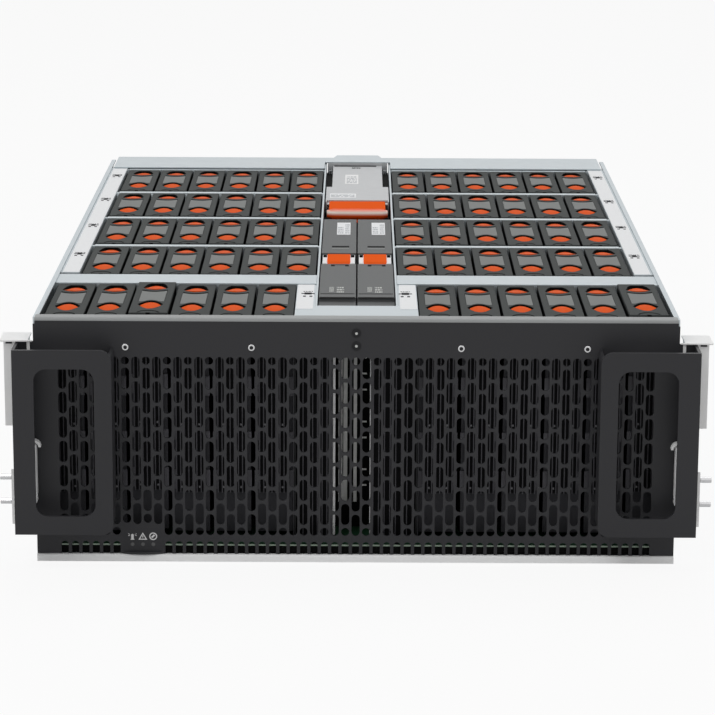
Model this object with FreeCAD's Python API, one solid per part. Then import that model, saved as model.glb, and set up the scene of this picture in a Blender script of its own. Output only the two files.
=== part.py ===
"""Top-loading disk shelf for a rack: five rows of twelve upright disk drives in a four-unit sheet-steel tray.

Frame: X to the right seen from the front, Y from the front to the rear, Z up, in millimetres.
The origin lies on the underside, in the middle of the overall width and depth. Rows are lettered A to E
from the front, and the drives of a row stand in two groups of six, left and right of a centre channel
that holds the modules.
"""
import FreeCAD
import Part
import math
import os

V = FreeCAD.Vector

# ---------------------------------------------------------------- disk drives and their carriers
DISK_THICKNESS = 26.1
DISK_WIDTH = 101.6
DISK_LENGTH = 147.0
CARRIER_WIDTH = 27.7
CARRIER_GAP = 1.6
CARRIER_WALL = 0.9
DISK_PLAY = 0.1
CAP_HEIGHT = 10.0
LEG_LENGTH = 118.0
DRIVES_PER_GROUP = 6
OPENING_WIDTH = 18.6
OPENING_LENGTH = 26.0
OPENING_DEPTH = 7.5
OPENING_FROM_FRONT = 26.0
OPENING_FROM_REAR = 16.0
PAD_WIDTH = 14.0
PAD_LENGTH = 22.0
PAD_RIDGE = 17.0
PAD_SETBACK = 0.6
PAD_PLAY = 0.3
TALL_CAP = 1.6
TALL_DRIVES = (3, 12)

# ---------------------------------------------------------------- sheet metal and boards
SHEET = 1.2
BEZEL_SHEET = 1.5
HEM_WIDTH = 2.3
STANDOFF_HEIGHT = 7.55
BOARD_THICKNESS = 2.0
BOARD_MARGIN = 2.0
STANDOFF_SIDE = 8.0
CONNECTOR_HEIGHT = 5.0
CONNECTOR_WIDTH = 6.0
CONNECTOR_LENGTH = 42.0
SEAT_GAP = 0.3
CUT_MARGIN = 1.0
CAP_BELOW_RIM = 2.0

# ---------------------------------------------------------------- layout in plan
# Each START and END here is a depth from the bezel's face.
CHANNEL_HALF = 28.0
CHANNEL_WALL = 1.5
GUIDE_LEFT = -16.3
GUIDE_WIDTH = 27.7
GUIDE_DEPTH = 30.0
GUIDE_SLOTS = 8
GUIDE_SLOT_START = 18.0
GUIDE_SLOT_HEIGHT = 13.6
GUIDE_SLOT_INSET = 3.0
CHANNEL_CLEARANCE = 1.0
CAGE_CLEARANCE = 0.6
CAGE_FLANGE = 15.2
ROW_A_SIDE_GAP = 4.6
ROW_A_START = 19.3
ROW_B_START = 160.7
ROW_PITCH = 117.2
BRACE_CLEARANCE = 1.2
BRACE_WIDTH = 30.0
ROW_WALL_FOLD = 4.4
TRAY_END = 659.5
REAR_END = 676.0
REAR_INSET = 4.5
TAB_END = 690.0
TAB_HALF = 22.0
TAB_CORNER = 3.0
REAR_FLANGE_LAP = 18.0
REAR_HEM_LAP = 9.0

# ---------------------------------------------------------------- front bezel
SLOT_PITCH = 7.3
SLOT_WIDTH = 5.8
SLOT_RISE = 17.6
SLOT_BRIDGE = 2.0
SLOT_COLUMNS_EACH_SIDE = 28
SLOT_ROWS = 7
ROWS_BELOW_SPLIT = 4
HOLE_HEIGHT = 5.8
GRILLE_BOTTOM = 18.8
BEZEL_BOTTOM = 5.4
BEZEL_RETURN = 9.0
NOTCH_HEIGHT = 8.9
NOTCH_WIDTH = 5.0
PATCH_FIRST = -22
PATCH_LAST = -19
PATCH_ROOM = 8.8
CORNER_RELIEF = 2.4
LIP_DEPTH = 3.0
LIP_HEIGHT = 3.4
INDICATOR_RADIUS = 1.5
INDICATOR_SPACING = 7.3
INDICATOR_Z = 12.0
INDICATOR_LENGTH = 3.5
SHELF_HALF = 15.5
SHELF_REACH = 3.6
SHELF_THICKNESS = 1.5
SHELF_CHORDS = 2
RIVET_RADIUS = 2.4
RIVET_Z = 154.6
RIVET_X_INNER = 72.7
RIVET_X_OUTER = 160.2
SCREW_ZS = (156.0, 165.2)
SCREW_RADIUS = 3.2
HEAD_THICKNESS = 0.9

# ---------------------------------------------------------------- ears, handles and rack brackets
EAR_WIDTH = 12.4
EAR_TOP = 158.4
HANDLE_SHEET = 2.5
HANDLE_STANDOFF = 22.0
HANDLE_RETURN = 2.0
HANDLE_WIDTH = 68.4
HANDLE_BOTTOM = 26.0
HANDLE_HEIGHT = 131.6
HANDLE_CORNER = 8.0
WINDOW_WIDTH = 41.4
WINDOW_HEIGHT = 105.0
WINDOW_FROM_OUTER = 14.8
WINDOW_CORNER = 8.5
CATCH_STRIP = 1.6
CATCH_DEPTH = 9.0
CATCH_HEIGHT = 45.0
CATCH_Z = 46.0
CATCH_HOOK = 5.0
CATCH_STANDOFF = 5.0
CATCH_INSET = 12.8
BRACKET_SHEET = 1.2
BRACKET_DEPTH = 25.0
BRACKET_AHEAD = 2.3
BRACKET_REACH = 10.6
BRACKET_UPPER_REACH = 8.3
BRACKET_UPPER_FOOT = 97.5
BRACKET_LOWER_REACH = 5.0
BRACKET_LOWER_TOP = 66.0
BRACKET_WAIST = 1.6
BRACKET_FLANGE_GAP = 4.6
BRACKET_FLANGE_FOOT = 110.0
BRACKET_TIP = 3.2
BRACKET_TIP_SETBACK = 1.0
PIN_RADIUS = 2.2
PIN_LENGTH = 8.0
PIN_ZS = (42.4, 60.0)

# ---------------------------------------------------------------- centre channel and its modules
CHANNEL_START = 53.0
MODULE_START = 55.5
MODULE_WIDTH = 26.6
MODULE_SPLIT = 1.2
LEDGE_LENGTH = 27.0
LEDGE_DROP = 2.5
FRONT_COVER_LENGTH = 122.0
LEVER_BAY = 42.0
REAR_COVER_LENGTH = 140.5
LEVER_BAY_DEPTH = 14.0
MODULE_TOP_BELOW_CAP = 1.0
MODULE_CHEEK = 2.8
MODULE_CHEEK_DROP = 1.0
LEVER_WIDTH = 17.6
LEVER_LENGTH = 30.0
LEVER_NOSE = 8.0
LEVER_WEB = 5.0
LEVER_GAP = 0.4
PIVOT_RADIUS = 1.5
PIVOT_CLEARANCE = 0.05
KNUCKLE_RADIUS = 3.2
IO_START = 476.0
IO_REAR_GAP = 2.5
IO_WIDE_END = 540.0
IO_HALF = 26.9
IO_NARROW_HALF = 22.0
IO_DECK_HEIGHT = 16.0
IO_CHEEK = 1.0
IO_CHEEK_HEIGHT = 9.6
PULL_BAR_LENGTH = 39.0
PULL_BAR_NOSE = 12.0
PULL_BAR_NOSE_LENGTH = 9.0
PORT_BLOCK_LENGTH = 22.5
PORT_WIDTH = 18.0
PORT_HEIGHT = 10.0
PORT_DEPTH = 14.0
PORT_FOOT = 10.0
PORT_RISE = 20.0
PSU_HEIGHT = 39.5
PSU_LENGTH = 262.0
PSU_WIDTH = 54.5
PSU_HANDLE_DEPTH = 18.0
PSU_HANDLE_BAR = 4.0
PSU_HANDLE_WIDTH = 22.0
INLET_WIDTH = 23.0
INLET_HEIGHT = 19.0
INLET_DEPTH = 16.0
RELEASE_WIDTH = 5.0
RELEASE_LENGTH = 12.0
RELEASE_HEIGHT = 14.0

# ---------------------------------------------------------------- fans
FAN_SIDE = 80.0
FAN_DEPTH = 38.0
FAN_PITCH = 94.0
FAN_Z = 88.0
FAN_BORE_RADIUS = 39.5
FAN_BORE_FACETS = 8
HUB_RADIUS = 17.0
ROTOR_DEPTH = 26.0
BLADE_THICKNESS = 2.0
BLADE_LEAN = 9.0
BLADE_ROOT = 13.6
BLADE_TIP = 34.8
BLADE_MARGIN = 2.0
SHAFT_RADIUS = 2.5
SHAFT_CLEARANCE = 0.05
SPIDER_THICKNESS = 4.0
STRUT_WIDTH = 5.0
STRUT_SEAT = 0.5
FAN_BLADES = 5
FAN_FACETS = 12
SMALL_FACETS = 8
HEAD_FACETS = 12

# ---------------------------------------------------------------- labels and rail holes
LABEL_THICKNESS = 0.3
LABEL_WIDTH = 12.0
LABEL_PLATE_START = 40.6
RAIL_HOLE_RADIUS = 2.1
RAIL_HOLE_SPACING = 400.0
RAIL_HOLE_Z = 88.0

# ---------------------------------------------------------------- worked out from the sizes above
CARRIER_LENGTH = DISK_WIDTH + 2 * (CARRIER_WALL + DISK_PLAY)
DRIVE_PITCH = CARRIER_WIDTH + CARRIER_GAP
GROUP_WIDTH = DRIVES_PER_GROUP * DRIVE_PITCH - CARRIER_GAP
BOARD_BOTTOM = SHEET + STANDOFF_HEIGHT
BOARD_TOP = BOARD_BOTTOM + BOARD_THICKNESS
DISK_BOTTOM = BOARD_TOP + CONNECTOR_HEIGHT + SEAT_GAP
CAP_BOTTOM = DISK_BOTTOM + DISK_LENGTH + DISK_PLAY
CAP_TOP = CAP_BOTTOM + CAP_HEIGHT
BODY_HEIGHT = CAP_TOP + CAP_BELOW_RIM + DISK_PLAY
DECK_TOP = BODY_HEIGHT - SHEET
GROUP_INNER = CHANNEL_HALF + CHANNEL_WALL + CHANNEL_CLEARANCE
CAGE_INNER = GROUP_INNER + GROUP_WIDTH + CAGE_CLEARANCE
BODY_HALF = CAGE_INNER + CAGE_FLANGE + HEM_WIDTH + SHEET
WALL_INNER = BODY_HALF - SHEET
ROW_A_INNER = WALL_INNER - ROW_A_SIDE_GAP - GROUP_WIDTH
CAGE_END = ROW_B_START + 3 * ROW_PITCH + CARRIER_LENGTH
ROW_STARTS = [ROW_A_START] + [ROW_B_START + n * ROW_PITCH for n in range(4)]
HANDLE_REACH = HANDLE_STANDOFF + HANDLE_SHEET
OVERALL_DEPTH = HANDLE_REACH + REAR_END + PSU_HANDLE_DEPTH
BEZEL_FACE = HANDLE_REACH - OVERALL_DEPTH / 2
FRONT = BEZEL_FACE + BEZEL_SHEET
REAR = BEZEL_FACE + TRAY_END
REAR_FACE = BEZEL_FACE + REAR_END
HANDLE_OUTER = BODY_HALF + EAR_WIDTH
MODULE_TOP = CAP_TOP - MODULE_TOP_BELOW_CAP
PORT_BLOCK_START = REAR_END - PORT_BLOCK_LENGTH
IO_END = PORT_BLOCK_START - IO_REAR_GAP
PSU_START = REAR_END - PSU_LENGTH
PSU_LOWER_Z = BOARD_TOP + SEAT_GAP
PSU_UPPER_Z = PSU_LOWER_Z + PSU_HEIGHT + 2 * SEAT_GAP + SHEET
IO_Z = PSU_UPPER_Z + PSU_HEIGHT + 2 * SEAT_GAP + SHEET
REAR_HALF = BODY_HALF - REAR_INSET
PATCH_X = SLOT_PITCH * (PATCH_FIRST + PATCH_LAST) / 2
GRILLE_HEIGHT = SLOT_ROWS * SLOT_RISE + HOLE_HEIGHT


def box(x0, x1, y0, y1, z0, z1):
    """A block between two corners."""
    return Part.makeBox(x1 - x0, y1 - y0, z1 - z0, V(x0, y0, z0))


def mirrored(shape):
    """The same piece on the other side of the middle plane."""
    return shape.mirror(V(0, 0, 0), V(1, 0, 0))


def depth(d):
    """The Y of a plane that lies d behind the bezel's face."""
    return BEZEL_FACE + d


def rectangle(u0, u1, v0, v1):
    """The corners of a rectangle in some plane."""
    return [(u0, v0), (u1, v0), (u1, v1), (u0, v1)]


def loop(points):
    """A closed wire through points."""
    return Part.makePolygon([V(*p) for p in points] + [V(*points[0])])


def plate_xz(outline, holes, y0, thickness):
    """An upright plate facing the front, from (x, z) outlines."""
    wires = [loop([(x, y0, z) for x, z in ring]) for ring in [outline] + list(holes)]
    return Part.makeFace(wires, "Part::FaceMakerBullseye").extrude(V(0, thickness, 0))


def plate_xy(outline, z0, thickness):
    """A level plate from an (x, y) outline."""
    return Part.Face(loop([(x, y, z0) for x, y in outline])).extrude(V(0, 0, thickness))


def profile_yz(outline, x0, width):
    """A bar along X from a (y, z) profile."""
    return Part.Face(loop([(x0, y, z) for y, z in outline])).extrude(V(width, 0, 0))


def rod(x, y, z, axis, radius, length):
    """A round rod from a point along an axis."""
    return Part.makeCylinder(radius, length, V(x, y, z), V(*axis))


def bore_along_x(x0, x1, y, z, radius):
    """A cutter for a bore along X, longer than the piece at both ends."""
    return rod(x0 - CUT_MARGIN, y, z, (1, 0, 0), radius, x1 - x0 + 2 * CUT_MARGIN)


def ring_xz(x, z, radius, facets):
    """A many-sided (x, z) outline about a point."""
    angles = [2 * math.pi * (n + 0.5) / facets for n in range(facets)]
    return [(x + radius * math.cos(a), z + radius * math.sin(a)) for a in angles]


def faceted_rod(x, y0, z, radius, length, facets):
    """A many-sided rod along +Y, for small round parts that come in numbers."""
    return plate_xz(ring_xz(x, z, radius, facets), [], y0, length)


def runs_deep(edge):
    """Whether a straight edge runs from the front to the rear."""
    start, end = edge.Vertexes
    return abs(start.Y - end.Y) > edge.Length / 2


def rounded_window(x0, x1, z0, z1, radius, y0, thickness):
    """A block with round corners that cuts a window through an upright plate."""
    block = box(x0, x1, y0, y0 + thickness, z0, z1)
    return block.makeFillet(radius, [e for e in block.Edges if runs_deep(e)])


def joined(shapes):
    """Several blocks that are one folded or moulded piece."""
    whole = shapes[0].fuse(shapes[1:]) if len(shapes) > 1 else shapes[0]
    return whole.removeSplitter()


def save(name, *solids):
    """Writes one node."""
    shape = solids[0] if len(solids) == 1 else Part.makeCompound(list(solids))
    shape.exportStep(os.path.join("parts", name + ".step"))


# ---------------------------------------------------------------- drives
def opening_centres(y_front):
    """The Y of a carrier's front and rear finger openings."""
    return (y_front + OPENING_FROM_FRONT, y_front + CARRIER_LENGTH - OPENING_FROM_REAR)


def carrier(x, y_front, extra=0.0):
    """A moulded cap with two finger openings, on two legs that clasp the disk."""
    y_rear = y_front + CARRIER_LENGTH
    shoulder = CAP_BOTTOM
    foot = shoulder - LEG_LENGTH
    top = CAP_TOP + extra
    body = profile_yz(
        [
            (y_front, foot),
            (y_front + CARRIER_WALL, foot),
            (y_front + CARRIER_WALL, shoulder),
            (y_rear - CARRIER_WALL, shoulder),
            (y_rear - CARRIER_WALL, foot),
            (y_rear, foot),
            (y_rear, top),
            (y_front, top),
        ],
        x - CARRIER_WIDTH / 2,
        CARRIER_WIDTH,
    )
    half = OPENING_WIDTH / 2
    for y in opening_centres(y_front):
        y0 = y - OPENING_LENGTH / 2
        body = body.cut(box(x - half, x + half, y0, y0 + OPENING_LENGTH, top - OPENING_DEPTH, top))
    return body


def disk(x, y_front):
    """A bare drive standing on its connector end."""
    y0 = y_front + CARRIER_WALL + DISK_PLAY
    half = DISK_THICKNESS / 2
    return box(x - half, x + half, y0, y0 + DISK_WIDTH, DISK_BOTTOM, DISK_BOTTOM + DISK_LENGTH)


def pinch_pad(x, y_front, rear):
    """One sloping finger pad, which slides towards the middle of its carrier to let go."""
    centre = opening_centres(y_front)[1 if rear else 0]
    outwards = 1 if rear else -1
    tail = centre + outwards * (OPENING_LENGTH / 2 - PAD_SETBACK)
    floor = CAP_TOP - OPENING_DEPTH + PAD_PLAY
    top = CAP_TOP - PAD_SETBACK
    outline = [(tail, floor), (tail - outwards * PAD_LENGTH, floor), (tail - outwards * PAD_RIDGE, top)]
    return profile_yz(outline, x - PAD_WIDTH / 2, PAD_WIDTH)


def group_xs(row, side):
    """The X of each drive's middle in one group, from the channel outwards."""
    inner = ROW_A_INNER if row == 0 else GROUP_INNER
    first = inner + CARRIER_WIDTH / 2
    return [side * (first + n * DRIVE_PITCH) for n in range(DRIVES_PER_GROUP)]


def drive(x, y_front, extra=0.0):
    """Every solid of one drive."""
    pads = [pinch_pad(x, y_front, rear) for rear in (False, True)]
    return [carrier(x, y_front, extra), disk(x, y_front)] + pads


def drives():
    """Row A has a node for each drive, and the rows behind it a node for each group of six."""
    xs = sorted(group_xs(0, -1) + group_xs(0, 1))
    y = depth(ROW_STARTS[0])
    save("drive_a01_carrier", carrier(xs[0], y))
    save("drive_a01_disk", disk(xs[0], y))
    save("drive_a01_pad_front", pinch_pad(xs[0], y, False))
    save("drive_a01_pad_rear", pinch_pad(xs[0], y, True))
    for n, x in enumerate(xs[1:], 2):
        save("drive_a%02d" % n, *drive(x, y, TALL_CAP if n in TALL_DRIVES else 0.0))
    for row in range(1, 5):
        for side, word in ((-1, "left"), (1, "right")):
            solids = []
            for x in group_xs(row, side):
                solids += drive(x, depth(ROW_STARTS[row]))
            save("drives_%s_%s" % ("abcde"[row], word), *solids)


def connectors():
    """Connector strips on the boards, one under each group of six disks."""
    solids = []
    for row in range(5):
        middle = depth(ROW_STARTS[row] + CARRIER_LENGTH / 2)
        y0 = middle - CONNECTOR_LENGTH / 2
        for side in (-1, 1):
            xs = sorted(group_xs(row, side))
            x0 = xs[0] - CONNECTOR_WIDTH / 2
            x1 = xs[-1] + CONNECTOR_WIDTH / 2
            solids.append(box(x0, x1, y0, y0 + CONNECTOR_LENGTH, BOARD_TOP, BOARD_TOP + CONNECTOR_HEIGHT))
    save("drive_connectors", *solids)


# ---------------------------------------------------------------- tray, boards and cage
def board_outline_half():
    """The right-hand board's (x, y) outline: wide under row A, narrower between the cage plates."""
    inner = CHANNEL_HALF + CHANNEL_WALL + CHANNEL_CLEARANCE
    wide = WALL_INNER - BOARD_MARGIN
    narrow = CAGE_INNER - CAGE_CLEARANCE / 2
    step = depth(ROW_B_START - BRACE_CLEARANCE)
    y0 = FRONT + BOARD_MARGIN
    y1 = depth(CAGE_END)
    return [(inner, y0), (wide, y0), (wide, step), (narrow, step), (narrow, y1), (inner, y1)]


def standoff(x, y):
    """A block pressed into the floor that carries a board."""
    half = STANDOFF_SIDE / 2
    return box(x - half, x + half, y - half, y + half, SHEET, BOARD_BOTTOM)


def standoffs():
    """Five standoffs under the middle of each row: two to each drive board, one to the module board."""
    solids = []
    near = GROUP_INNER + STANDOFF_SIDE
    far = CAGE_INNER - STANDOFF_SIDE
    for start in ROW_STARTS:
        y = depth(start + CARRIER_LENGTH / 2)
        solids += [standoff(x, y) for x in (-far, -near, 0, near, far)]
    return solids


def baseboards():
    """The drive boards left and right and the module board in the channel, on their standoffs."""
    right = plate_xy(board_outline_half(), BOARD_BOTTOM, BOARD_THICKNESS)
    half = CHANNEL_HALF - CHANNEL_CLEARANCE / 2
    y0 = FRONT + BOARD_MARGIN
    middle = box(-half, half, y0, depth(PORT_BLOCK_START), BOARD_BOTTOM, BOARD_TOP)
    save("baseboards", mirrored(right), middle, right, *standoffs())


def chassis_tray():
    """Floor, side walls with inward hems, a front lip and the holes for the slide rails."""
    pieces = [box(-BODY_HALF, BODY_HALF, FRONT, REAR, 0, SHEET)]
    hem_start = FRONT + BEZEL_RETURN
    hem_inner = WALL_INNER - HEM_WIDTH
    wall = box(WALL_INNER, BODY_HALF, FRONT, REAR, 0, BODY_HEIGHT)
    hem = box(hem_inner, BODY_HALF, hem_start, REAR, DECK_TOP, BODY_HEIGHT)
    pieces += [wall, hem, mirrored(wall), mirrored(hem)]
    pieces.append(box(-BODY_HALF, BODY_HALF, FRONT - LIP_DEPTH, FRONT, 0, LIP_HEIGHT))
    tray = joined(pieces)
    for y in (-RAIL_HOLE_SPACING / 2, RAIL_HOLE_SPACING / 2):
        for x in (-BODY_HALF - SHEET, WALL_INNER - SHEET):
            tray = tray.cut(rod(x, y, RAIL_HOLE_Z, (1, 0, 0), RAIL_HOLE_RADIUS, 3 * SHEET))
    save("chassis_tray", tray)


def drive_cage():
    """Each side: a long plate with a label flange, and a folded wall behind each of rows B to E."""
    foot = BOARD_TOP + BOARD_MARGIN
    start = depth(ROW_B_START - BRACE_CLEARANCE)
    end = depth(CAGE_END) + CAGE_CLEARANCE + ROW_WALL_FOLD
    outer_edge = CAGE_INNER + CAGE_FLANGE
    parts = [
        box(CAGE_INNER, CAGE_INNER + SHEET, start, end, SHEET, DECK_TOP - SHEET),
        box(CAGE_INNER, outer_edge, start, end, DECK_TOP - SHEET, DECK_TOP),
    ]
    wall_inner = CHANNEL_HALF + CHANNEL_WALL
    for row in range(1, 5):
        y = depth(ROW_STARTS[row] + CARRIER_LENGTH) + CAGE_CLEARANCE
        parts.append(box(wall_inner, CAGE_INNER, y, y + ROW_WALL_FOLD, foot, CAP_TOP))
    right = joined(parts)
    save("drive_cage", mirrored(right), right)


def cross_brace():
    """A hat-section brace on each side, between rows A and B."""
    inner = CHANNEL_HALF + CHANNEL_WALL
    y0 = depth(ROW_A_START + CARRIER_LENGTH) + BRACE_CLEARANCE
    y1 = y0 + BRACE_WIDTH
    foot = BOARD_TOP + BOARD_MARGIN
    top = DECK_TOP
    profile = [
        (y0, foot),
        (y0 + SHEET, foot),
        (y0 + SHEET, top - SHEET),
        (y1 - SHEET, top - SHEET),
        (y1 - SHEET, foot),
        (y1, foot),
        (y1, top),
        (y0, top),
    ]
    right = profile_yz(profile, inner, WALL_INNER - inner)
    save("cross_brace", mirrored(right), right)


def centre_channel():
    """Two walls joined by the shelves that carry the upper power supply and the I/O module."""
    y0 = depth(CHANNEL_START)
    y1 = REAR_FACE - SHEET
    outer = CHANNEL_HALF + CHANNEL_WALL
    wall = box(CHANNEL_HALF, outer, y0, y1, SHEET, CAP_TOP)
    pieces = [wall, mirrored(wall)]
    for z in (PSU_UPPER_Z - SEAT_GAP, IO_Z - SEAT_GAP):
        pieces.append(box(-CHANNEL_HALF, CHANNEL_HALF, depth(PSU_START), y1, z - SHEET, z))
    save("centre_channel", joined(pieces), front_guide())


def front_guide():
    """An upright channel in front of the modules, slotted along one side, that guides air to them."""
    x0 = GUIDE_LEFT
    x1 = GUIDE_LEFT + GUIDE_WIDTH
    y1 = depth(CHANNEL_START) - 2 * CAGE_CLEARANCE
    top = CAP_TOP - SHEET
    slots = []
    slot_x = x1 - GUIDE_SLOT_INSET
    for n in range(GUIDE_SLOTS):
        z = BOARD_TOP + GUIDE_SLOT_START + n * SLOT_RISE
        slots.append(rectangle(slot_x - SLOT_WIDTH, slot_x, z, z + GUIDE_SLOT_HEIGHT))
    web = plate_xz(rectangle(x0, x1, BOARD_TOP, top), slots, y1 - SHEET, SHEET)
    flanges = [box(x, x + SHEET, y1 - GUIDE_DEPTH, y1, BOARD_TOP, top) for x in (x0, x1 - SHEET)]
    return joined([web] + flanges)


def centre_plate():
    """The light cover in front of the modules, with an arm either side of the channel for a label."""
    outer = ROW_A_INNER - CAGE_CLEARANCE
    inner = CHANNEL_HALF + CHANNEL_WALL
    y0 = FRONT + BEZEL_RETURN + CAGE_CLEARANCE
    y1 = depth(CHANNEL_START) - CAGE_CLEARANCE
    y2 = depth(ROW_A_START + CARRIER_LENGTH)
    right = [(outer, y0), (outer, y2), (inner, y2), (inner, y1)]
    left = [(-x, y) for x, y in reversed(right)]
    pieces = [plate_xy(right + left, CAP_TOP - SHEET, SHEET)]
    for side in (-1, 1):
        x0, x1 = sorted((side * (outer - SHEET), side * outer))
        pieces.append(box(x0, x1, y0, y2, BOARD_TOP, CAP_TOP))
    save("centre_plate", joined(pieces))


def labels():
    """Blank label strips on the cage flanges and blank label plates beside the modules."""
    x0 = CAGE_INNER + (CAGE_FLANGE - LABEL_WIDTH) / 2
    strip_top = DECK_TOP + LABEL_THICKNESS
    strip = box(x0, x0 + LABEL_WIDTH, depth(ROW_B_START), depth(CAGE_END), DECK_TOP, strip_top)
    x1 = ROW_A_INNER - CAGE_CLEARANCE - CAGE_CLEARANCE
    y0 = depth(LABEL_PLATE_START)
    y1 = depth(ROW_A_START + CARRIER_LENGTH) - CAGE_CLEARANCE
    plate = box(x1 - LABEL_WIDTH, x1, y0, y1, CAP_TOP, CAP_TOP + LABEL_THICKNESS)
    save("blank_labels", mirrored(strip), mirrored(plate), plate, strip)


# ---------------------------------------------------------------- front
def slot_spans(column):
    """The (bottom, top) of each opening in one column; neighbouring columns are half a step apart."""
    top = GRILLE_BOTTOM + GRILLE_HEIGHT
    rise = ROWS_BELOW_SPLIT * SLOT_RISE
    split = top - rise if column % 2 else GRILLE_BOTTOM + rise - SLOT_BRIDGE
    spans = [(GRILLE_BOTTOM, split), (split + SLOT_BRIDGE, top)]
    if PATCH_FIRST <= column <= PATCH_LAST:
        low = GRILLE_BOTTOM + PATCH_ROOM
        spans = [(max(a, low), b) for a, b in spans]
    return spans


def front_bezel():
    """A perforated plate with a comb of notches below, a top return, and an ear each side for the handles."""
    ear = HANDLE_OUTER
    relief = CORNER_RELIEF
    right_side = [
        (BODY_HALF, BEZEL_BOTTOM),
        (BODY_HALF, HANDLE_BOTTOM - relief),
        (BODY_HALF - relief / 2, HANDLE_BOTTOM - relief),
        (BODY_HALF - relief / 2, HANDLE_BOTTOM),
        (ear, HANDLE_BOTTOM),
        (ear, EAR_TOP),
        (BODY_HALF, EAR_TOP),
        (BODY_HALF, BODY_HEIGHT - relief),
        (BODY_HALF - relief / 2, BODY_HEIGHT - relief),
        (BODY_HALF - relief / 2, BODY_HEIGHT),
    ]
    left_side = [(-x, z) for x, z in reversed(right_side)]
    comb = []
    half = NOTCH_WIDTH / 2
    columns = range(-SLOT_COLUMNS_EACH_SIDE, SLOT_COLUMNS_EACH_SIDE + 1)
    for column in columns:
        if PATCH_FIRST <= column <= PATCH_LAST:
            continue
        x = column * SLOT_PITCH
        top = BEZEL_BOTTOM + NOTCH_HEIGHT
        comb += [(x - half, BEZEL_BOTTOM), (x - half, top), (x + half, top), (x + half, BEZEL_BOTTOM)]
    holes = []
    for column in columns:
        x0 = column * SLOT_PITCH - SLOT_WIDTH / 2
        holes += [rectangle(x0, x0 + SLOT_WIDTH, a, b) for a, b in slot_spans(column)]
    plate = plate_xz(comb + right_side + left_side, holes, BEZEL_FACE, BEZEL_SHEET)
    lip = box(-WALL_INNER, WALL_INNER, FRONT, FRONT + BEZEL_RETURN, DECK_TOP, BODY_HEIGHT)
    shares = [n / SHELF_CHORDS for n in range(-SHELF_CHORDS, SHELF_CHORDS + 1)]
    curve = [(PATCH_X + SHELF_HALF * t, BEZEL_FACE - SHELF_REACH * (1 - t * t)) for t in shares]
    shelf = plate_xy(curve, BEZEL_BOTTOM, SHELF_THICKNESS)
    bezel = joined([plate, lip, shelf])
    for n in (-1, 0, 1):
        x = PATCH_X + n * INDICATOR_SPACING
        hole = faceted_rod(x, BEZEL_FACE, INDICATOR_Z, INDICATOR_RADIUS, BEZEL_SHEET, SMALL_FACETS)
        bezel = bezel.cut(hole)
    save("front_bezel", bezel)


def indicators():
    """Three light pipes behind the bezel, standing on the board's front edge."""
    solids = []
    for n in (-1, 0, 1):
        x = PATCH_X + n * INDICATOR_SPACING
        radius = INDICATOR_RADIUS - PIVOT_CLEARANCE
        y0 = BEZEL_FACE - SEAT_GAP
        solids.append(faceted_rod(x, y0, INDICATOR_Z, radius, INDICATOR_LENGTH, SMALL_FACETS))
    save("indicator_lights", *solids)


def rivets_and_screws():
    """Four rivets and two screws, seated on the bezel's face."""
    rivets = []
    for x in (-RIVET_X_OUTER, -RIVET_X_INNER, RIVET_X_INNER, RIVET_X_OUTER):
        y0 = BEZEL_FACE - HEAD_THICKNESS
        rivets.append(faceted_rod(x, y0, RIVET_Z, RIVET_RADIUS, HEAD_THICKNESS, HEAD_FACETS))
    save("bezel_rivets", *rivets)
    screws = []
    for z in SCREW_ZS:
        y0 = BEZEL_FACE - HEAD_THICKNESS
        screws.append(faceted_rod(0, y0, z, SCREW_RADIUS, HEAD_THICKNESS, HEAD_FACETS))
    save("bezel_screws", *screws)


def handle_right():
    """A plate with a window, standing off the bezel on a return at each side."""
    x1 = HANDLE_OUTER
    x0 = x1 - HANDLE_WIDTH
    z0 = HANDLE_BOTTOM
    z1 = z0 + HANDLE_HEIGHT
    y0 = BEZEL_FACE - HANDLE_REACH
    plate = box(x0, x1, y0, BEZEL_FACE, z0, z1)
    inner_corners = [e for e in plate.Edges if runs_deep(e) and e.Vertexes[0].X < x0 + CUT_MARGIN]
    plate = plate.makeFillet(HANDLE_CORNER, inner_corners)
    hollow = box(x0 + HANDLE_RETURN, x1 - HANDLE_RETURN, y0 + HANDLE_SHEET, BEZEL_FACE, z0, z1)
    plate = plate.cut(hollow)
    wx1 = x1 - WINDOW_FROM_OUTER
    wz0 = z0 + (HANDLE_HEIGHT - WINDOW_HEIGHT) / 2
    wz1 = wz0 + WINDOW_HEIGHT
    return plate.cut(rounded_window(wx1 - WINDOW_WIDTH, wx1, wz0, wz1, WINDOW_CORNER, y0, HANDLE_SHEET))


def rack_catch_right():
    """A sprung strip beside the handle's window, with a finger hook at its top."""
    x1 = HANDLE_OUTER - CATCH_INSET
    x0 = x1 - CATCH_STRIP
    y0 = BEZEL_FACE - CATCH_STANDOFF - CATCH_DEPTH
    z1 = CATCH_Z + CATCH_HEIGHT
    strip = box(x0, x1, y0, y0 + CATCH_DEPTH, CATCH_Z, z1)
    hook = box(x1 - CATCH_HOOK, x1, y0, y0 + CATCH_STRIP, z1 - CATCH_HOOK, z1)
    eye_y = y0 + CATCH_DEPTH / 2
    eye_z = CATCH_Z + CATCH_DEPTH / 2
    eye = bore_along_x(x0, x1, eye_y, eye_z, PIVOT_RADIUS + PIVOT_CLEARANCE)
    return joined([strip, hook]).cut(eye)


def catch_pivot_right():
    """The pin the catch turns on, fixed to the handle's outer return."""
    x1 = HANDLE_OUTER - HANDLE_RETURN
    x0 = HANDLE_OUTER - CATCH_INSET - CATCH_STRIP - SEAT_GAP
    y = BEZEL_FACE - CATCH_STANDOFF - CATCH_DEPTH / 2
    return rod(x0, y, CATCH_Z + CATCH_DEPTH / 2, (1, 0, 0), PIVOT_RADIUS, x1 - x0)


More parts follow.
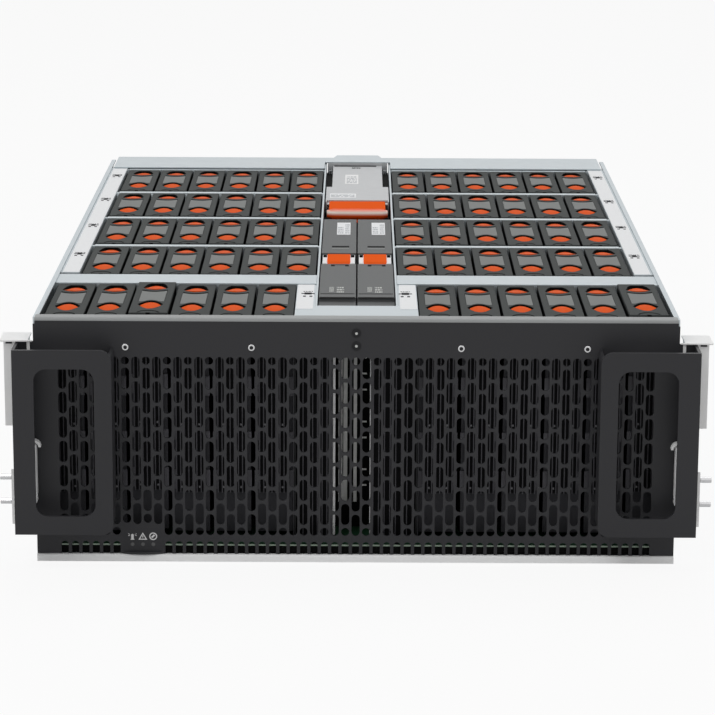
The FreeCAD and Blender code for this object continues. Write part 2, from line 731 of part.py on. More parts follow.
def rack_bracket_right():
    """A zinc-plated bracket behind each ear: a web, a top flange over the ear and an inner flange."""
    y = FRONT
    inner = BODY_HALF + BRACKET_FLANGE_GAP
    upper = HANDLE_OUTER + BRACKET_UPPER_REACH
    lower = HANDLE_OUTER + BRACKET_LOWER_REACH
    waist = HANDLE_OUTER - BRACKET_WAIST
    foot = HANDLE_BOTTOM
    web = plate_xz(
        [
            (inner, foot),
            (lower, foot),
            (lower, BRACKET_LOWER_TOP),
            (waist, BRACKET_LOWER_TOP),
            (waist, BRACKET_UPPER_FOOT),
            (upper, BRACKET_UPPER_FOOT),
            (upper, EAR_TOP),
            (inner, EAR_TOP),
        ],
        [],
        y,
        BRACKET_SHEET,
    )
    front = BEZEL_FACE - BRACKET_AHEAD
    rear = front + BRACKET_DEPTH
    outer = HANDLE_OUTER + BRACKET_REACH
    tip = inner - BRACKET_SHEET - BRACKET_TIP
    near = inner - BRACKET_SHEET
    tip_end = (tip, front + BRACKET_TIP_SETBACK)
    tip_root = (near, BEZEL_FACE - SEAT_GAP)
    top_outline = [(near, front), (outer, front), (outer, rear), (near, rear), tip_root, tip_end]
    top = plate_xy(top_outline, EAR_TOP, BRACKET_SHEET)
    flange = box(inner, inner + BRACKET_SHEET, y, rear, BRACKET_FLANGE_FOOT, EAR_TOP)
    return joined([web, top, flange])


def rack_pins():
    """Two locating pins on each bracket, standing outwards from the lower part of its web."""
    solids = []
    start = HANDLE_OUTER + BRACKET_LOWER_REACH
    y = FRONT + PIN_RADIUS
    for z in PIN_ZS:
        pin = profile_yz(ring_xz(y, z, PIN_RADIUS, SMALL_FACETS), start, PIN_LENGTH)
        solids += [mirrored(pin), pin]
    save("rack_pins", *solids)


def front_pieces():
    """Everything carried by the bezel."""
    front_bezel()
    indicators()
    rivets_and_screws()
    handle = handle_right()
    save("handle_left", mirrored(handle))
    save("handle_right", handle)
    catch = rack_catch_right()
    save("rack_catch_left", mirrored(catch))
    save("rack_catch_right", catch)
    pivot = catch_pivot_right()
    save("rack_catch_pivots", mirrored(pivot), pivot)
    bracket = rack_bracket_right()
    save("rack_brackets", mirrored(bracket), bracket)
    rack_pins()


# ---------------------------------------------------------------- modules in the centre channel
def module(side):
    """A tall module: a stepped front cover, an open bay with two cheeks for the lever, and a rear cover."""
    x = side * (MODULE_WIDTH + MODULE_SPLIT) / 2
    y0 = depth(MODULE_START)
    y1 = y0 + LEDGE_LENGTH
    y2 = y1 + FRONT_COVER_LENGTH
    y3 = y2 + LEVER_BAY
    y4 = y3 + REAR_COVER_LENGTH
    floor = MODULE_TOP - LEVER_BAY_DEPTH
    foot = BOARD_TOP + SEAT_GAP
    body = profile_yz(
        [
            (y0, foot),
            (y4, foot),
            (y4, MODULE_TOP),
            (y3, MODULE_TOP),
            (y3, floor),
            (y2, floor),
            (y2, MODULE_TOP),
            (y1, MODULE_TOP),
            (y1, MODULE_TOP - LEDGE_DROP),
            (y0, MODULE_TOP - LEDGE_DROP),
        ],
        x - MODULE_WIDTH / 2,
        MODULE_WIDTH,
    )
    pivot_y, pivot_z = lever_pivot()
    inner = LEVER_WIDTH / 2 + LEVER_GAP
    pieces = [body]
    cheek_top = MODULE_TOP - MODULE_CHEEK_DROP
    for s in (-1, 1):
        x0, x1 = sorted((x + s * inner, x + s * (inner + MODULE_CHEEK)))
        pieces.append(box(x0, x1, pivot_y - LEVER_NOSE, pivot_y + KNUCKLE_RADIUS, floor, cheek_top))
    pieces.append(rod(x - inner, pivot_y, pivot_z, (1, 0, 0), PIVOT_RADIUS, 2 * inner))
    return joined(pieces)


def lever_pivot():
    """Where the module levers turn: near the rear of the bay, just under the covers."""
    y = depth(MODULE_START + LEDGE_LENGTH + FRONT_COVER_LENGTH + LEVER_BAY) - KNUCKLE_RADIUS - LEVER_GAP * 2
    return y, MODULE_TOP - KNUCKLE_RADIUS


def swinging_bar(x0, width, pivot_y, pivot_z, length, nose_size):
    """A lever with a knuckle at the rear, a flat top and a deep rounded nose at the front."""
    nose, nose_length = nose_size
    top = pivot_z + KNUCKLE_RADIUS * math.cos(math.pi / SMALL_FACETS)
    front = pivot_y - length
    ease = nose / 4
    bar = profile_yz(
        [
            (pivot_y, top),
            (front + ease, top),
            (front, top - ease),
            (front, top - nose + ease),
            (front + ease, top - nose),
            (front + nose_length, top - nose),
            (front + nose_length, top - LEVER_WEB),
            (pivot_y, top - LEVER_WEB),
        ],
        x0,
        width,
    )
    knuckle = profile_yz(ring_xz(pivot_y, pivot_z, KNUCKLE_RADIUS, SMALL_FACETS), x0, width)
    bore = bore_along_x(x0, x0 + width, pivot_y, pivot_z, PIVOT_RADIUS + PIVOT_CLEARANCE)
    return joined([bar, knuckle]).cut(bore)


def modules():
    """The two tall modules and the lever on each."""
    pivot_y, pivot_z = lever_pivot()
    for side, word in ((-1, "left"), (1, "right")):
        x = side * (MODULE_WIDTH + MODULE_SPLIT) / 2
        save("module_" + word, module(side))
        x0 = x - LEVER_WIDTH / 2
        nose = (LEVER_NOSE, LEVER_NOSE)
        save("module_lever_" + word, swinging_bar(x0, LEVER_WIDTH, pivot_y, pivot_z, LEVER_LENGTH, nose))


def io_module():
    """The I/O module: a box, a deck that narrows to the rear, and cheeks with a pin for the pull bar."""
    y0 = depth(IO_START)
    y1 = depth(IO_END)
    step = depth(IO_WIDE_END)
    deck = MODULE_TOP - IO_DECK_HEIGHT
    pivot_y = y0 - KNUCKLE_RADIUS - LEVER_GAP * 2
    pivot_z = MODULE_TOP - KNUCKLE_RADIUS
    pieces = [
        box(-IO_HALF, IO_HALF, y0, y1, IO_Z, deck),
        box(-IO_HALF, IO_HALF, y0, step, deck, MODULE_TOP),
        box(-IO_NARROW_HALF, IO_NARROW_HALF, step, y1, deck, MODULE_TOP),
    ]
    cheek_foot = MODULE_TOP - IO_CHEEK_HEIGHT
    cheek = box(IO_HALF - IO_CHEEK, IO_HALF, pivot_y - KNUCKLE_RADIUS, y0, cheek_foot, MODULE_TOP)
    pin = rod(-IO_HALF + IO_CHEEK, pivot_y, pivot_z, (1, 0, 0), PIVOT_RADIUS, 2 * (IO_HALF - IO_CHEEK))
    save("io_module", joined(pieces + [cheek, mirrored(cheek), pin]))
    half = IO_HALF - IO_CHEEK - LEVER_GAP
    nose = (PULL_BAR_NOSE, PULL_BAR_NOSE_LENGTH)
    save("io_pull_bar", swinging_bar(-half, 2 * half, pivot_y, pivot_z, PULL_BAR_LENGTH, nose))


def io_ports():
    """The fixed port block at the rear, above the power supplies, with four open ports."""
    y1 = REAR_FACE
    half = CHANNEL_HALF - CHANNEL_CLEARANCE
    block = box(-half, half, depth(PORT_BLOCK_START), y1, IO_Z - SEAT_GAP, DECK_TOP)
    for x in (-half / 2, half / 2):
        for z in (IO_Z + PORT_FOOT, IO_Z + PORT_FOOT + PORT_RISE):
            port = box(x - PORT_WIDTH / 2, x + PORT_WIDTH / 2, y1 - PORT_DEPTH, y1, z, z + PORT_HEIGHT)
            block = block.cut(port)
    save("io_ports", block)


def power_supply(z0):
    """A sealed supply with a power inlet and a loop handle at the rear."""
    y0 = depth(PSU_START)
    y1 = REAR_FACE
    half = PSU_WIDTH / 2
    body = box(-half, half, y0, y1, z0, z0 + PSU_HEIGHT)
    inlet_x = -half / 2
    mid = z0 + PSU_HEIGHT / 2
    inlet = box(
        inlet_x - INLET_WIDTH / 2,
        inlet_x + INLET_WIDTH / 2,
        y1 - INLET_DEPTH,
        y1,
        mid - INLET_HEIGHT / 2,
        mid + INLET_HEIGHT / 2,
    )
    pocket_x = half - RELEASE_WIDTH
    pocket = box(pocket_x, half, y1 - RELEASE_LENGTH, y1, mid - RELEASE_HEIGHT / 2, mid + RELEASE_HEIGHT / 2)
    body = body.cut(inlet).cut(pocket)
    bar = PSU_HANDLE_BAR
    x0 = 0
    x1 = PSU_HANDLE_WIDTH
    y2 = y1 + PSU_HANDLE_DEPTH
    z = mid - bar / 2
    outside = [(x0, y1), (x0, y2), (x1, y2), (x1, y1)]
    inside = [(x1 - bar, y1), (x1 - bar, y2 - bar), (x0 + bar, y2 - bar), (x0 + bar, y1)]
    return joined([body, plate_xy(outside + inside, z, bar)])


def psu_release(z0):
    """The release tab beside the handle, which slides inwards."""
    y1 = REAR_FACE
    half = PSU_WIDTH / 2
    mid = z0 + PSU_HEIGHT / 2
    return box(
        half - RELEASE_WIDTH / 2,
        half,
        y1 - RELEASE_LENGTH + SEAT_GAP,
        y1 + RELEASE_LENGTH / 2,
        mid - RELEASE_HEIGHT / 2 + SEAT_GAP,
        mid + RELEASE_HEIGHT / 2 - SEAT_GAP,
    )


def power_supplies():
    """Two supplies, one above the other."""
    for z0, word in ((PSU_LOWER_Z, "lower"), (PSU_UPPER_Z, "upper")):
        save("psu_" + word, power_supply(z0))
        save("psu_release_" + word, psu_release(z0))


# ---------------------------------------------------------------- rear
def fan_xs():
    """The X of the four fans, two on each side of the channel."""
    inner = CHANNEL_HALF + CHANNEL_WALL
    middle = (inner + REAR_HALF) / 2
    right = [middle - FAN_PITCH / 2, middle + FAN_PITCH / 2]
    return [-right[1], -right[0], right[0], right[1]]


def rear_panel():
    """The rear panel, with four fan openings and an opening for the supplies and ports."""
    y0 = REAR_FACE - SHEET
    top = DECK_TOP
    half = REAR_HALF
    opening = CHANNEL_HALF
    foot = BOARD_BOTTOM
    outline = [
        (-half, SHEET),
        (half, SHEET),
        (half, top),
        (opening, top),
        (opening, foot),
        (-opening, foot),
        (-opening, top),
        (-half, top),
    ]
    holes = [ring_xz(x, FAN_Z, FAN_BORE_RADIUS, FAN_BORE_FACETS) for x in fan_xs()]
    pieces = [plate_xz(outline, holes, y0, SHEET)]
    flange = box(half - SHEET, half, REAR - REAR_FLANGE_LAP, REAR_FACE, SHEET, top)
    hem = box(CHANNEL_HALF + CHANNEL_WALL, half, REAR - REAR_HEM_LAP, REAR_FACE, SHEET, 2 * SHEET)
    pieces += [flange, mirrored(flange), hem, mirrored(hem)]
    save("rear_panel", joined(pieces))


def rear_cover():
    """The fixed cover over the fans, cut back around the I/O module, with a tab at the middle of the rear."""
    half = REAR_HALF - CAGE_CLEARANCE / 2
    inner = CHANNEL_HALF + CHANNEL_WALL
    y0 = depth(CAGE_END) + CAGE_CLEARANCE + ROW_WALL_FOLD
    y1 = depth(PORT_BLOCK_START)
    y2 = REAR_FACE
    y3 = depth(TAB_END)
    outline = [
        (-half, y0),
        (-inner, y0),
        (-inner, y1),
        (inner, y1),
        (inner, y0),
        (half, y0),
        (half, y2),
        (TAB_HALF, y2),
        (TAB_HALF - TAB_CORNER, y3),
        (TAB_CORNER - TAB_HALF, y3),
        (-TAB_HALF, y2),
        (-half, y2),
    ]
    save("rear_cover", plate_xy(outline, DECK_TOP, SHEET))


def fan_frame(x):
    """A square fan frame with a round bore and a spider at the rear that carries the axle."""
    y1 = REAR_FACE - SHEET
    y0 = y1 - FAN_DEPTH
    half = FAN_SIDE / 2
    z = FAN_Z
    square = rectangle(x - half, x + half, z - half, z + half)
    frame = plate_xz(square, [ring_xz(x, z, FAN_BORE_RADIUS, FAN_BORE_FACETS)], y0, FAN_DEPTH)
    ys = y1 - SPIDER_THICKNESS
    w = STRUT_WIDTH / 2
    r = FAN_BORE_RADIUS + STRUT_SEAT
    hub = faceted_rod(x, ys, z, HUB_RADIUS, SPIDER_THICKNESS, FAN_FACETS)
    upright = box(x - w, x + w, ys, y1, z - r, z + r)
    level = box(x - r, x + r, ys, y1, z - w, z + w)
    axle = rod(x, y0 + SPIDER_THICKNESS, z, (0, 1, 0), SHAFT_RADIUS, FAN_DEPTH - 2 * SPIDER_THICKNESS)
    return joined([frame, hub, upright, level, axle])


def fan_rotor(x):
    """A hub with five leaning blades, bored for the axle."""
    y1 = REAR_FACE - SHEET - SPIDER_THICKNESS - SEAT_GAP
    y0 = y1 - ROTOR_DEPTH
    z = FAN_Z
    hub = faceted_rod(x, y0, z, HUB_RADIUS, ROTOR_DEPTH, FAN_FACETS)
    pieces = [hub]
    t = BLADE_THICKNESS
    section = [
        (y0 + BLADE_MARGIN, z - BLADE_LEAN),
        (y0 + BLADE_MARGIN, z - BLADE_LEAN + t),
        (y1 - BLADE_MARGIN, z + BLADE_LEAN),
        (y1 - BLADE_MARGIN, z + BLADE_LEAN - t),
    ]
    for n in range(FAN_BLADES):
        blade = profile_yz(section, x + BLADE_ROOT, BLADE_TIP - BLADE_ROOT)
        blade.rotate(V(x, y0, z), V(0, 1, 0), 360.0 * n / FAN_BLADES)
        pieces.append(blade)
    length = ROTOR_DEPTH + 2 * CUT_MARGIN
    bore = rod(x, y0 - CUT_MARGIN, z, (0, 1, 0), SHAFT_RADIUS + SHAFT_CLEARANCE, length)
    return joined(pieces).cut(bore)


def fans():
    """Four fans: the frames are one node, and each rotor has its own."""
    save("fan_frames", *[fan_frame(x) for x in fan_xs()])
    for n, x in enumerate(fan_xs(), 1):
        save("fan_rotor_%d" % n, fan_rotor(x))


if __name__ == "__main__":
    os.makedirs("parts", exist_ok=True)
    chassis_tray()
    baseboards()
    connectors()
    drive_cage()
    cross_brace()
    centre_channel()
    centre_plate()
    labels()
    drives()
    front_pieces()
    modules()
    io_module()
    io_ports()
    power_supplies()
    rear_panel()
    rear_cover()
    fans()
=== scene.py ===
import math
import bmesh
import bpy
from mathutils import Matrix, Vector


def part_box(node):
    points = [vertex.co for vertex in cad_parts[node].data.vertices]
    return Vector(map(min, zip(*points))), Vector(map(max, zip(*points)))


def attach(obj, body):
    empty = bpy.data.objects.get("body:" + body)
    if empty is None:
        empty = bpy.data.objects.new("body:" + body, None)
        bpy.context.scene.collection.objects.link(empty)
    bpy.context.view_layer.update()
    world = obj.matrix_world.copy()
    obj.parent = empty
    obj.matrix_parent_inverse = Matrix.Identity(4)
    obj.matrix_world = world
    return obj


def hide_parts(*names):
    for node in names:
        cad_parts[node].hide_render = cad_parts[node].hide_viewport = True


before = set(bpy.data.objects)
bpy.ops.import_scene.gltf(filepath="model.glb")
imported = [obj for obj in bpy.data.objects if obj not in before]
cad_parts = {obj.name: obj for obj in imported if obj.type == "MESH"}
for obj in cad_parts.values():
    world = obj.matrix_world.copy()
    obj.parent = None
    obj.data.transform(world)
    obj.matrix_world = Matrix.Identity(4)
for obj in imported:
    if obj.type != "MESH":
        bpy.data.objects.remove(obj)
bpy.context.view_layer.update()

# --- sizes, in metres
BEZEL_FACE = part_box("bezel_rivets")[1].y
BEZEL_SHEET = 0.0015
SLOT_PITCH = 0.0073
SLOT_WIDTH = 0.0058
SLOT_RISE = 0.0176
SLOT_LENGTH = 0.0156
GROOVE_DEPTH = 0.0020
GRILLE_BOTTOM = 0.0188
GRILLE_TOP = 0.1478
COLUMNS_EACH_SIDE = 28
PATCH_COLUMNS = range(-22, -18)
PATCH_ROOM = 0.0088
NOTCH_WIDTH = 0.005
NOTCH_HEIGHT = 0.0089
ROLL_RADIUS = 0.0022
BRACKET_SHEET = 0.0012
CORNER_RELIEF = 0.0024
SHELF_HALF = 0.0155
SHELF_STEPS = 8
LIP_TOP = 0.0051
LIP_DEPTH = 0.0034
LIP_RADIUS = 0.0012
LIP_STAND_OFF = 0.0004

CARRIER_WIDTH = 0.0272
GROUP_INSET = 0.01385
CARRIER_LENGTH = 0.1036
DRIVE_PITCH = 0.0293
CAP_HEIGHT = 0.010
CAP_EASE = 0.0004
CUP_WALL = 0.00035
CUP_PLAY = 0.00005
CATCH_HALF = 0.0014
CATCH_ALONG = (-0.0010, 0.0009)
CATCH_DEPTH = 0.0030
LENS_HALF = 0.0092
POCKET_DEPTH = 0.0075
FRONT_LENS = (0.0135, 0.0280, 0.0398)
REAR_LENS = (0.0762, 0.0837, 0.0986)
REAR_LENS_FLAT = 0.50
HOOD_RISE = 0.72
PAD_INSET = 0.0004
PAD_DROP = 0.0006
PAD_SHARE = 0.94
PAD_TRAVEL = 0.0025
PAD_PLAY = 0.0006
PAD_BASE = -POCKET_DEPTH + 0.0004
PAD_CROWN = 0.0008
PAD_SLOPE = 0.0020
REAR_PAD_SLOPE = 0.0014
REAR_PAD_REACH = 0.80
WINDOW_HALF = 0.0090
WINDOW_DEPTH = 0.0010
WINDOW_PROUD = 0.00015
WINDOW_SEAT = 0.0003
WINDOW_SIDE = 0.007
WINDOW_GAP_FRONT = 0.0016
WINDOW_GAP_REAR = 0.0012
WINDOW_LINE = (0.0695, 0.0735)
WINDOW_LINE_WIDTH = 0.0034
EDGE_ARC = (0.0080, 0.0078)
EDGE_ARC_WIDTH = (0.0013, 0.0030)
CAP_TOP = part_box("drive_a01_carrier")[1].z
PRINT = 0.00012
SINK = 0.0001
STICKER = 0.0002
ROW_MARK = 0.0725
GUIDE_LEFT = -0.0163
GUIDE_RIGHT = 0.0114
GUIDE_EDGE = 0.0017
GUIDE_FOOT = 0.030
GUIDE_COLUMNS = ((-0.0125, -0.0062), (-0.0018, 0.0006), (0.0030, 0.0076))
RIVET = 0.0024
RIVET_INNER = 0.0727
RIVET_CENTRE = 0.55
SCREW = 0.0032
SCREW_CENTRE = 0.30
LEG_LENGTH = 0.118
LEG_HALF = 0.0104
LEG_THICKNESS = 0.0009
RIB_WIDTH = 0.0007
RIB_DEPTH = 0.0022
RIBS = 8
RUNG_ROWS = ((-0.014, 0.012), (-0.044, 0.014), (-0.084, 0.006), (-0.112, 0.014))
STUD_LEVELS = (-0.078, -0.1237)
STUD_PLACES = (-0.0062, 0.0062)
STUD_HALF = 0.0006
STUD_REACH = (-0.0032, -0.0018)
MERGE = 1e-6
SHEET_MERGE = 0.00001
CORNER_FACETS = 4
FLAT_ANGLE = math.radians(1)
EASED_ANGLE = math.radians(40)


# --- shading
class Wire:
    """A socket that takes part in arithmetic: each operator adds a Math node."""

    def __init__(self, graph, socket):
        self.graph = graph
        self.socket = socket

    def math(self, operation, first, second):
        made = self.graph.node("ShaderNodeMath", {"operation": operation}, _0=first, _1=second)
        return Wire(self.graph, made.outputs[0])

    def __add__(self, other):
        return self.math("ADD", self, other)

    def __radd__(self, other):
        return self.math("ADD", other, self)

    def __sub__(self, other):
        return self.math("SUBTRACT", self, other)

    def __mul__(self, other):
        return self.math("MULTIPLY", self, other)

    def __rmul__(self, other):
        return self.math("MULTIPLY", other, self)


class Graph:
    """A node tree of either kind, filled by one method."""

    def __init__(self, tree):
        self.tree = tree

    def node(self, kind, settings=None, **values):
        """Adds a node: its settings first, then its sockets, by name or as _0, _1 by place."""
        made = self.tree.nodes.new(kind)
        for key, value in (settings or {}).items():
            setattr(made, key, value)
        for key, value in values.items():
            place = key[1:]
            socket = made.inputs[int(place)] if place.isdigit() else made.inputs[key.replace("_", " ")]
            if isinstance(value, Wire):
                self.tree.links.new(value.socket, socket)
            elif isinstance(value, bpy.types.NodeSocket):
                self.tree.links.new(value, socket)
            else:
                socket.default_value = value
        return made


class Finish(Graph):
    """One material on the Principled shader."""

    def __init__(self, name, colour, roughness, metallic=0.0, coat=0.0, gloss=0.06):
        self.material = bpy.data.materials.new(name)
        self.material.use_nodes = True
        super().__init__(self.material.node_tree)
        self.shader = self.tree.nodes["Principled BSDF"]
        self.shader.inputs["Base Color"].default_value = (*colour, 1.0)
        self.shader.inputs["Roughness"].default_value = roughness
        self.shader.inputs["Metallic"].default_value = metallic
        self.shader.inputs["Coat Weight"].default_value = coat
        self.shader.inputs["Specular IOR Level"].default_value = gloss
        self.place = self.node("ShaderNodeTexCoord").outputs["Object"]

    def noise(self, scale, detail=2.0, stretch=(1, 1, 1)):
        """Noise over the piece's own coordinates, from 0 to 1."""
        turned = self.node("ShaderNodeMapping", Vector=self.place, Scale=stretch)
        made = self.node("ShaderNodeTexNoise", Vector=turned.outputs[0], Scale=scale, Detail=detail)
        return Wire(self, made.outputs[0])

    def rising(self, bottom, top):
        """From 0 at one height to 1 at another."""
        height = self.node("ShaderNodeSeparateXYZ", Vector=self.place).outputs["Z"]
        return self.node("ShaderNodeMapRange", _0=height, _1=bottom, _2=top).outputs[0]

    def feed(self, socket, value):
        """Links a value to one of the shader's sockets."""
        source = value.socket if isinstance(value, Wire) else value
        self.tree.links.new(source, self.shader.inputs[socket])
        return self

    def tinted(self, mask, low, high):
        """The base colour goes from low to high with the mask."""
        mixed = self.node("ShaderNodeMix", {"data_type": "RGBA"}, _0=mask, _6=(*low, 1.0), _7=(*high, 1.0))
        return self.feed("Base Color", mixed.outputs[2])

    def grained(self, height, strength, distance):
        """A fine relief."""
        made = self.node("ShaderNodeBump", Height=height, Strength=strength, Distance=distance)
        return self.feed("Normal", made.outputs[0])


def zinc_finish(name, light, roughness, metallic=0.55):
    """Zinc-plated sheet: faint spangle in the colour, brushed roughness."""
    paint = Finish(name, light, roughness, metallic=metallic, gloss=0.4)
    spangle = paint.noise(90.0, 3.0)
    dark = tuple(c * 0.93 for c in light)
    paint.tinted(spangle, dark, tuple(min(1.0, c * 1.05) for c in light))
    paint.feed("Roughness", roughness - 0.05 + 0.10 * paint.noise(260.0))
    return paint


def coated_finish(name, colour, roughness, grain, strength=0.25, gloss=0.06):
    """Powder coat or moulded plastic with a fine grain."""
    paint = Finish(name, colour, roughness, gloss=gloss)
    texture = paint.noise(grain, 2.0)
    paint.tinted(texture, tuple(c * 0.9 for c in colour), tuple(c * 1.1 for c in colour))
    paint.grained(texture, strength, 0.0001)
    return paint


def highlight_band_finish(name, colour, pale, band, roughness):
    """Glossy plastic with a painted highlight: a lighter stripe along one height, fading to both sides of it.
    """
    paint = Finish(name, colour, roughness, coat=0.4)
    height = Wire(paint, paint.node("ShaderNodeSeparateXYZ", Vector=paint.place).outputs["Z"])
    level, reach = band
    away = paint.node("ShaderNodeMath", {"operation": "ABSOLUTE"}, _0=(height - level).socket)
    share = paint.node("ShaderNodeMapRange", _0=away.outputs[0], _1=reach, _2=0.0)
    paint.tinted(share.outputs[0], colour, pale)
    return paint


def shade_painted_finish(name, low, high, bottom, top, roughness):
    """Moulded plastic with painted shade: its colour darkens from one height down to another."""
    paint = Finish(name, high, roughness, gloss=0.02)
    paint.tinted(paint.rising(bottom, top), low, high)
    paint.grained(paint.noise(1800.0), 0.15, 0.0001)
    return paint


def shade_painted_zinc(name, light, bottom, top, roughness):
    """Zinc-plated sheet with painted shade: it darkens from one height down to another, deeper inside the
    box.
    """
    paint = Finish(name, light, roughness, metallic=0.55, gloss=0.4)
    return paint.tinted(paint.rising(bottom, top), (0.02, 0.021, 0.022), light)


CAP_GREY = (0.064, 0.069, 0.068)
# Near-black painted shade for the carriers below the cap's top: sides, grooves and finger openings.
CAP_PAINTED_SHADE = (0.010, 0.010, 0.011)
PAD_ORANGE = (0.86, 0.105, 0.008)
# Deep red painted shade for the pads, lower in the finger openings.
PAD_PAINTED_SHADE = (0.42, 0.022, 0.002)

BAR_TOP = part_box("io_pull_bar")[1].z
# Painted highlight: a pale stripe along the pull bar's nose, at this height and reach.
BAR_HIGHLIGHT_BAND = (BAR_TOP - 0.0030, 0.0026)

FINISHES = {
    "zinc": zinc_finish("zinc_steel", (0.55, 0.60, 0.625), 0.42),
    # A near-white copy of the zinc: painted highlight on the front-facing rack brackets and their tabs, and
    # the own colour of the I/O module's pale square plate.
    "zinc_bright": zinc_finish("zinc_bright", (0.98, 0.98, 0.97), 0.40, 0.05),
    "black": coated_finish("black_powder_coat", (0.030, 0.030, 0.033), 0.42, 2600.0, 0.25, 0.3),
    # Painted highlight: a much lighter copy of the black coat, for the bezel's rolled top edge.
    "sheen": coated_finish("black_coat_sheen", (0.32, 0.33, 0.33), 0.40, 2600.0, 0.25, 0.3),
    "screw": Finish("black_oxide", (0.03, 0.03, 0.032), 0.4, metallic=0.4),
    "nickel": Finish("nickel", (0.72, 0.72, 0.73), 0.25, metallic=1.0),
    # Painted shade: the carrier plastic turns near-black just below the cap's top.
    "carrier": shade_painted_finish("carrier_plastic", CAP_PAINTED_SHADE, CAP_GREY, CAP_TOP - 0.0012, CAP_TOP - 0.0007, 0.5),
    "window": coated_finish("carrier_window", (0.205, 0.213, 0.208), 0.45, 1800.0),
    # Painted shade: the legs are near-black, far darker than the carrier plastic, for the dark behind the
    # grille.
    "leg": coated_finish("carrier_leg", (0.008, 0.008, 0.009), 0.42, 1800.0),
    # Painted highlight: the ribs and rungs are a lighter copy of the leg plastic.
    "rib": coated_finish("carrier_rib", (0.085, 0.083, 0.095), 0.36, 1800.0, 0.25, 0.4),
    # Near-black: the own dark of slots and seams, and painted shade in the finger openings, beside the I/O
    # module, over the boards' front and behind the guide.
    "pocket": Finish("pocket_black", (0.004, 0.004, 0.004), 0.7),
    # Painted shade: the pads go from orange to deep red lower in the finger openings.
    "pad": shade_painted_finish("pad_plastic", PAD_PAINTED_SHADE, PAD_ORANGE, CAP_TOP - 0.0050, CAP_TOP - 0.0012, 0.42),
    # Painted highlight: a pale stripe along the pull bar's nose.
    "bar": highlight_band_finish("orange_gloss", (0.98, 0.100, 0.010), (1.0, 0.92, 0.82), BAR_HIGHLIGHT_BAND, 0.30),
    "stud": Finish("stud_grey", (0.20, 0.20, 0.21), 0.4),
    "mark": Finish("mark_grey", (0.60, 0.61, 0.59), 0.5),
    "orange": coated_finish("orange_plastic", (1.0, 0.140, 0.025), 0.40, 2400.0, 0.12, 0.0),
    "disk": Finish("disk_case", (0.05, 0.05, 0.055), 0.45, metallic=0.3),
    "module": coated_finish("module_plastic", (0.150, 0.155, 0.156), 0.48, 1800.0),
    # Painted light: a near-white copy of the zinc for the guide's web, which sits deep in the box.
    "guide": zinc_finish("guide_zinc", (0.95, 0.95, 0.93), 0.45, 0.1),
    # Painted highlight: near-white for the tray's lip, the guide's sheet edges and the rack catches' hooks.
    "lip": zinc_finish("lip_bright", (0.98, 0.99, 0.99), 0.45, 0.0),
    # Painted shade: the zinc darkens below the caps' top, inside the box.
    "zinc_deep": shade_painted_zinc("zinc_deep", (0.55, 0.60, 0.625), CAP_TOP - 0.020, CAP_TOP - 0.004, 0.42),
    "label": Finish("label_white", (0.98, 0.99, 1.0), 0.5),
    "print": Finish("label_print", (0.03, 0.03, 0.035), 0.5),
    "faint_print": Finish("faint_print", (0.55, 0.57, 0.59), 0.5),
    "icon": Finish("icon_white", (0.75, 0.75, 0.75), 0.5),
    "light_pipe": Finish("light_pipe", (0.12, 0.12, 0.12), 0.2, coat=0.5),
    "board": coated_finish("board_green", (0.03, 0.10, 0.05), 0.4, 900.0),
    "board_edge": Finish("board_edge", (0.42, 0.52, 0.42), 0.5),
    "connector": Finish("connector_black", (0.02, 0.02, 0.02), 0.5),
    "port": zinc_finish("port_metal", (0.55, 0.56, 0.57), 0.4),
    "fan": coated_finish("fan_plastic", (0.02, 0.02, 0.022), 0.45, 1500.0),
    "psu": zinc_finish("psu_metal", (0.50, 0.51, 0.52), 0.42),
}


# --- shapes
def circle(u, v, radius, facets=24, start=0.0, sweep=2 * math.pi):
    """Points of a circle or of part of one."""
    whole = abs(sweep - 2 * math.pi) < 1e-9
    steps = facets if whole else facets + 1
    angles = [start + sweep * n / facets for n in range(steps)]
    return [(u + radius * math.cos(a), v + radius * math.sin(a)) for a in angles]


def rectangle(u0, u1, v0, v1):
    """Corners of a rectangle."""
    return [(u0, v0), (u1, v0), (u1, v1), (u0, v1)]


def spread(half, steps):
    """Even places from one side of the middle to the other."""
    return [half * (n / steps - 1) for n in range(2 * steps + 1)]


def sill(half, tips, peak, facets=10):
    """A shallow arc from one tip across to the other, whose own point is left out."""
    shares = [2 * n / facets - 1 for n in range(facets)]
    return [(half * t, tips + (peak - tips) * (1 - t * t)) for t in shares]


def lens(half, near, tips, far):
    """An eye-shaped outline: its arcs reach near and far."""
    return sill(half, tips, near) + sill(-half, tips, far)


def hood(half, near, tips, far, flat):
    """A curved sill with pointed ends under a flat-topped arch."""
    shoulder = (half * (1 + flat) / 2, tips + (far - tips) * HOOD_RISE)
    high = [(half, tips), shoulder, (half * flat, far)]
    return sill(half, tips, near) + high + [(-x, y) for x, y in reversed(high[1:])]


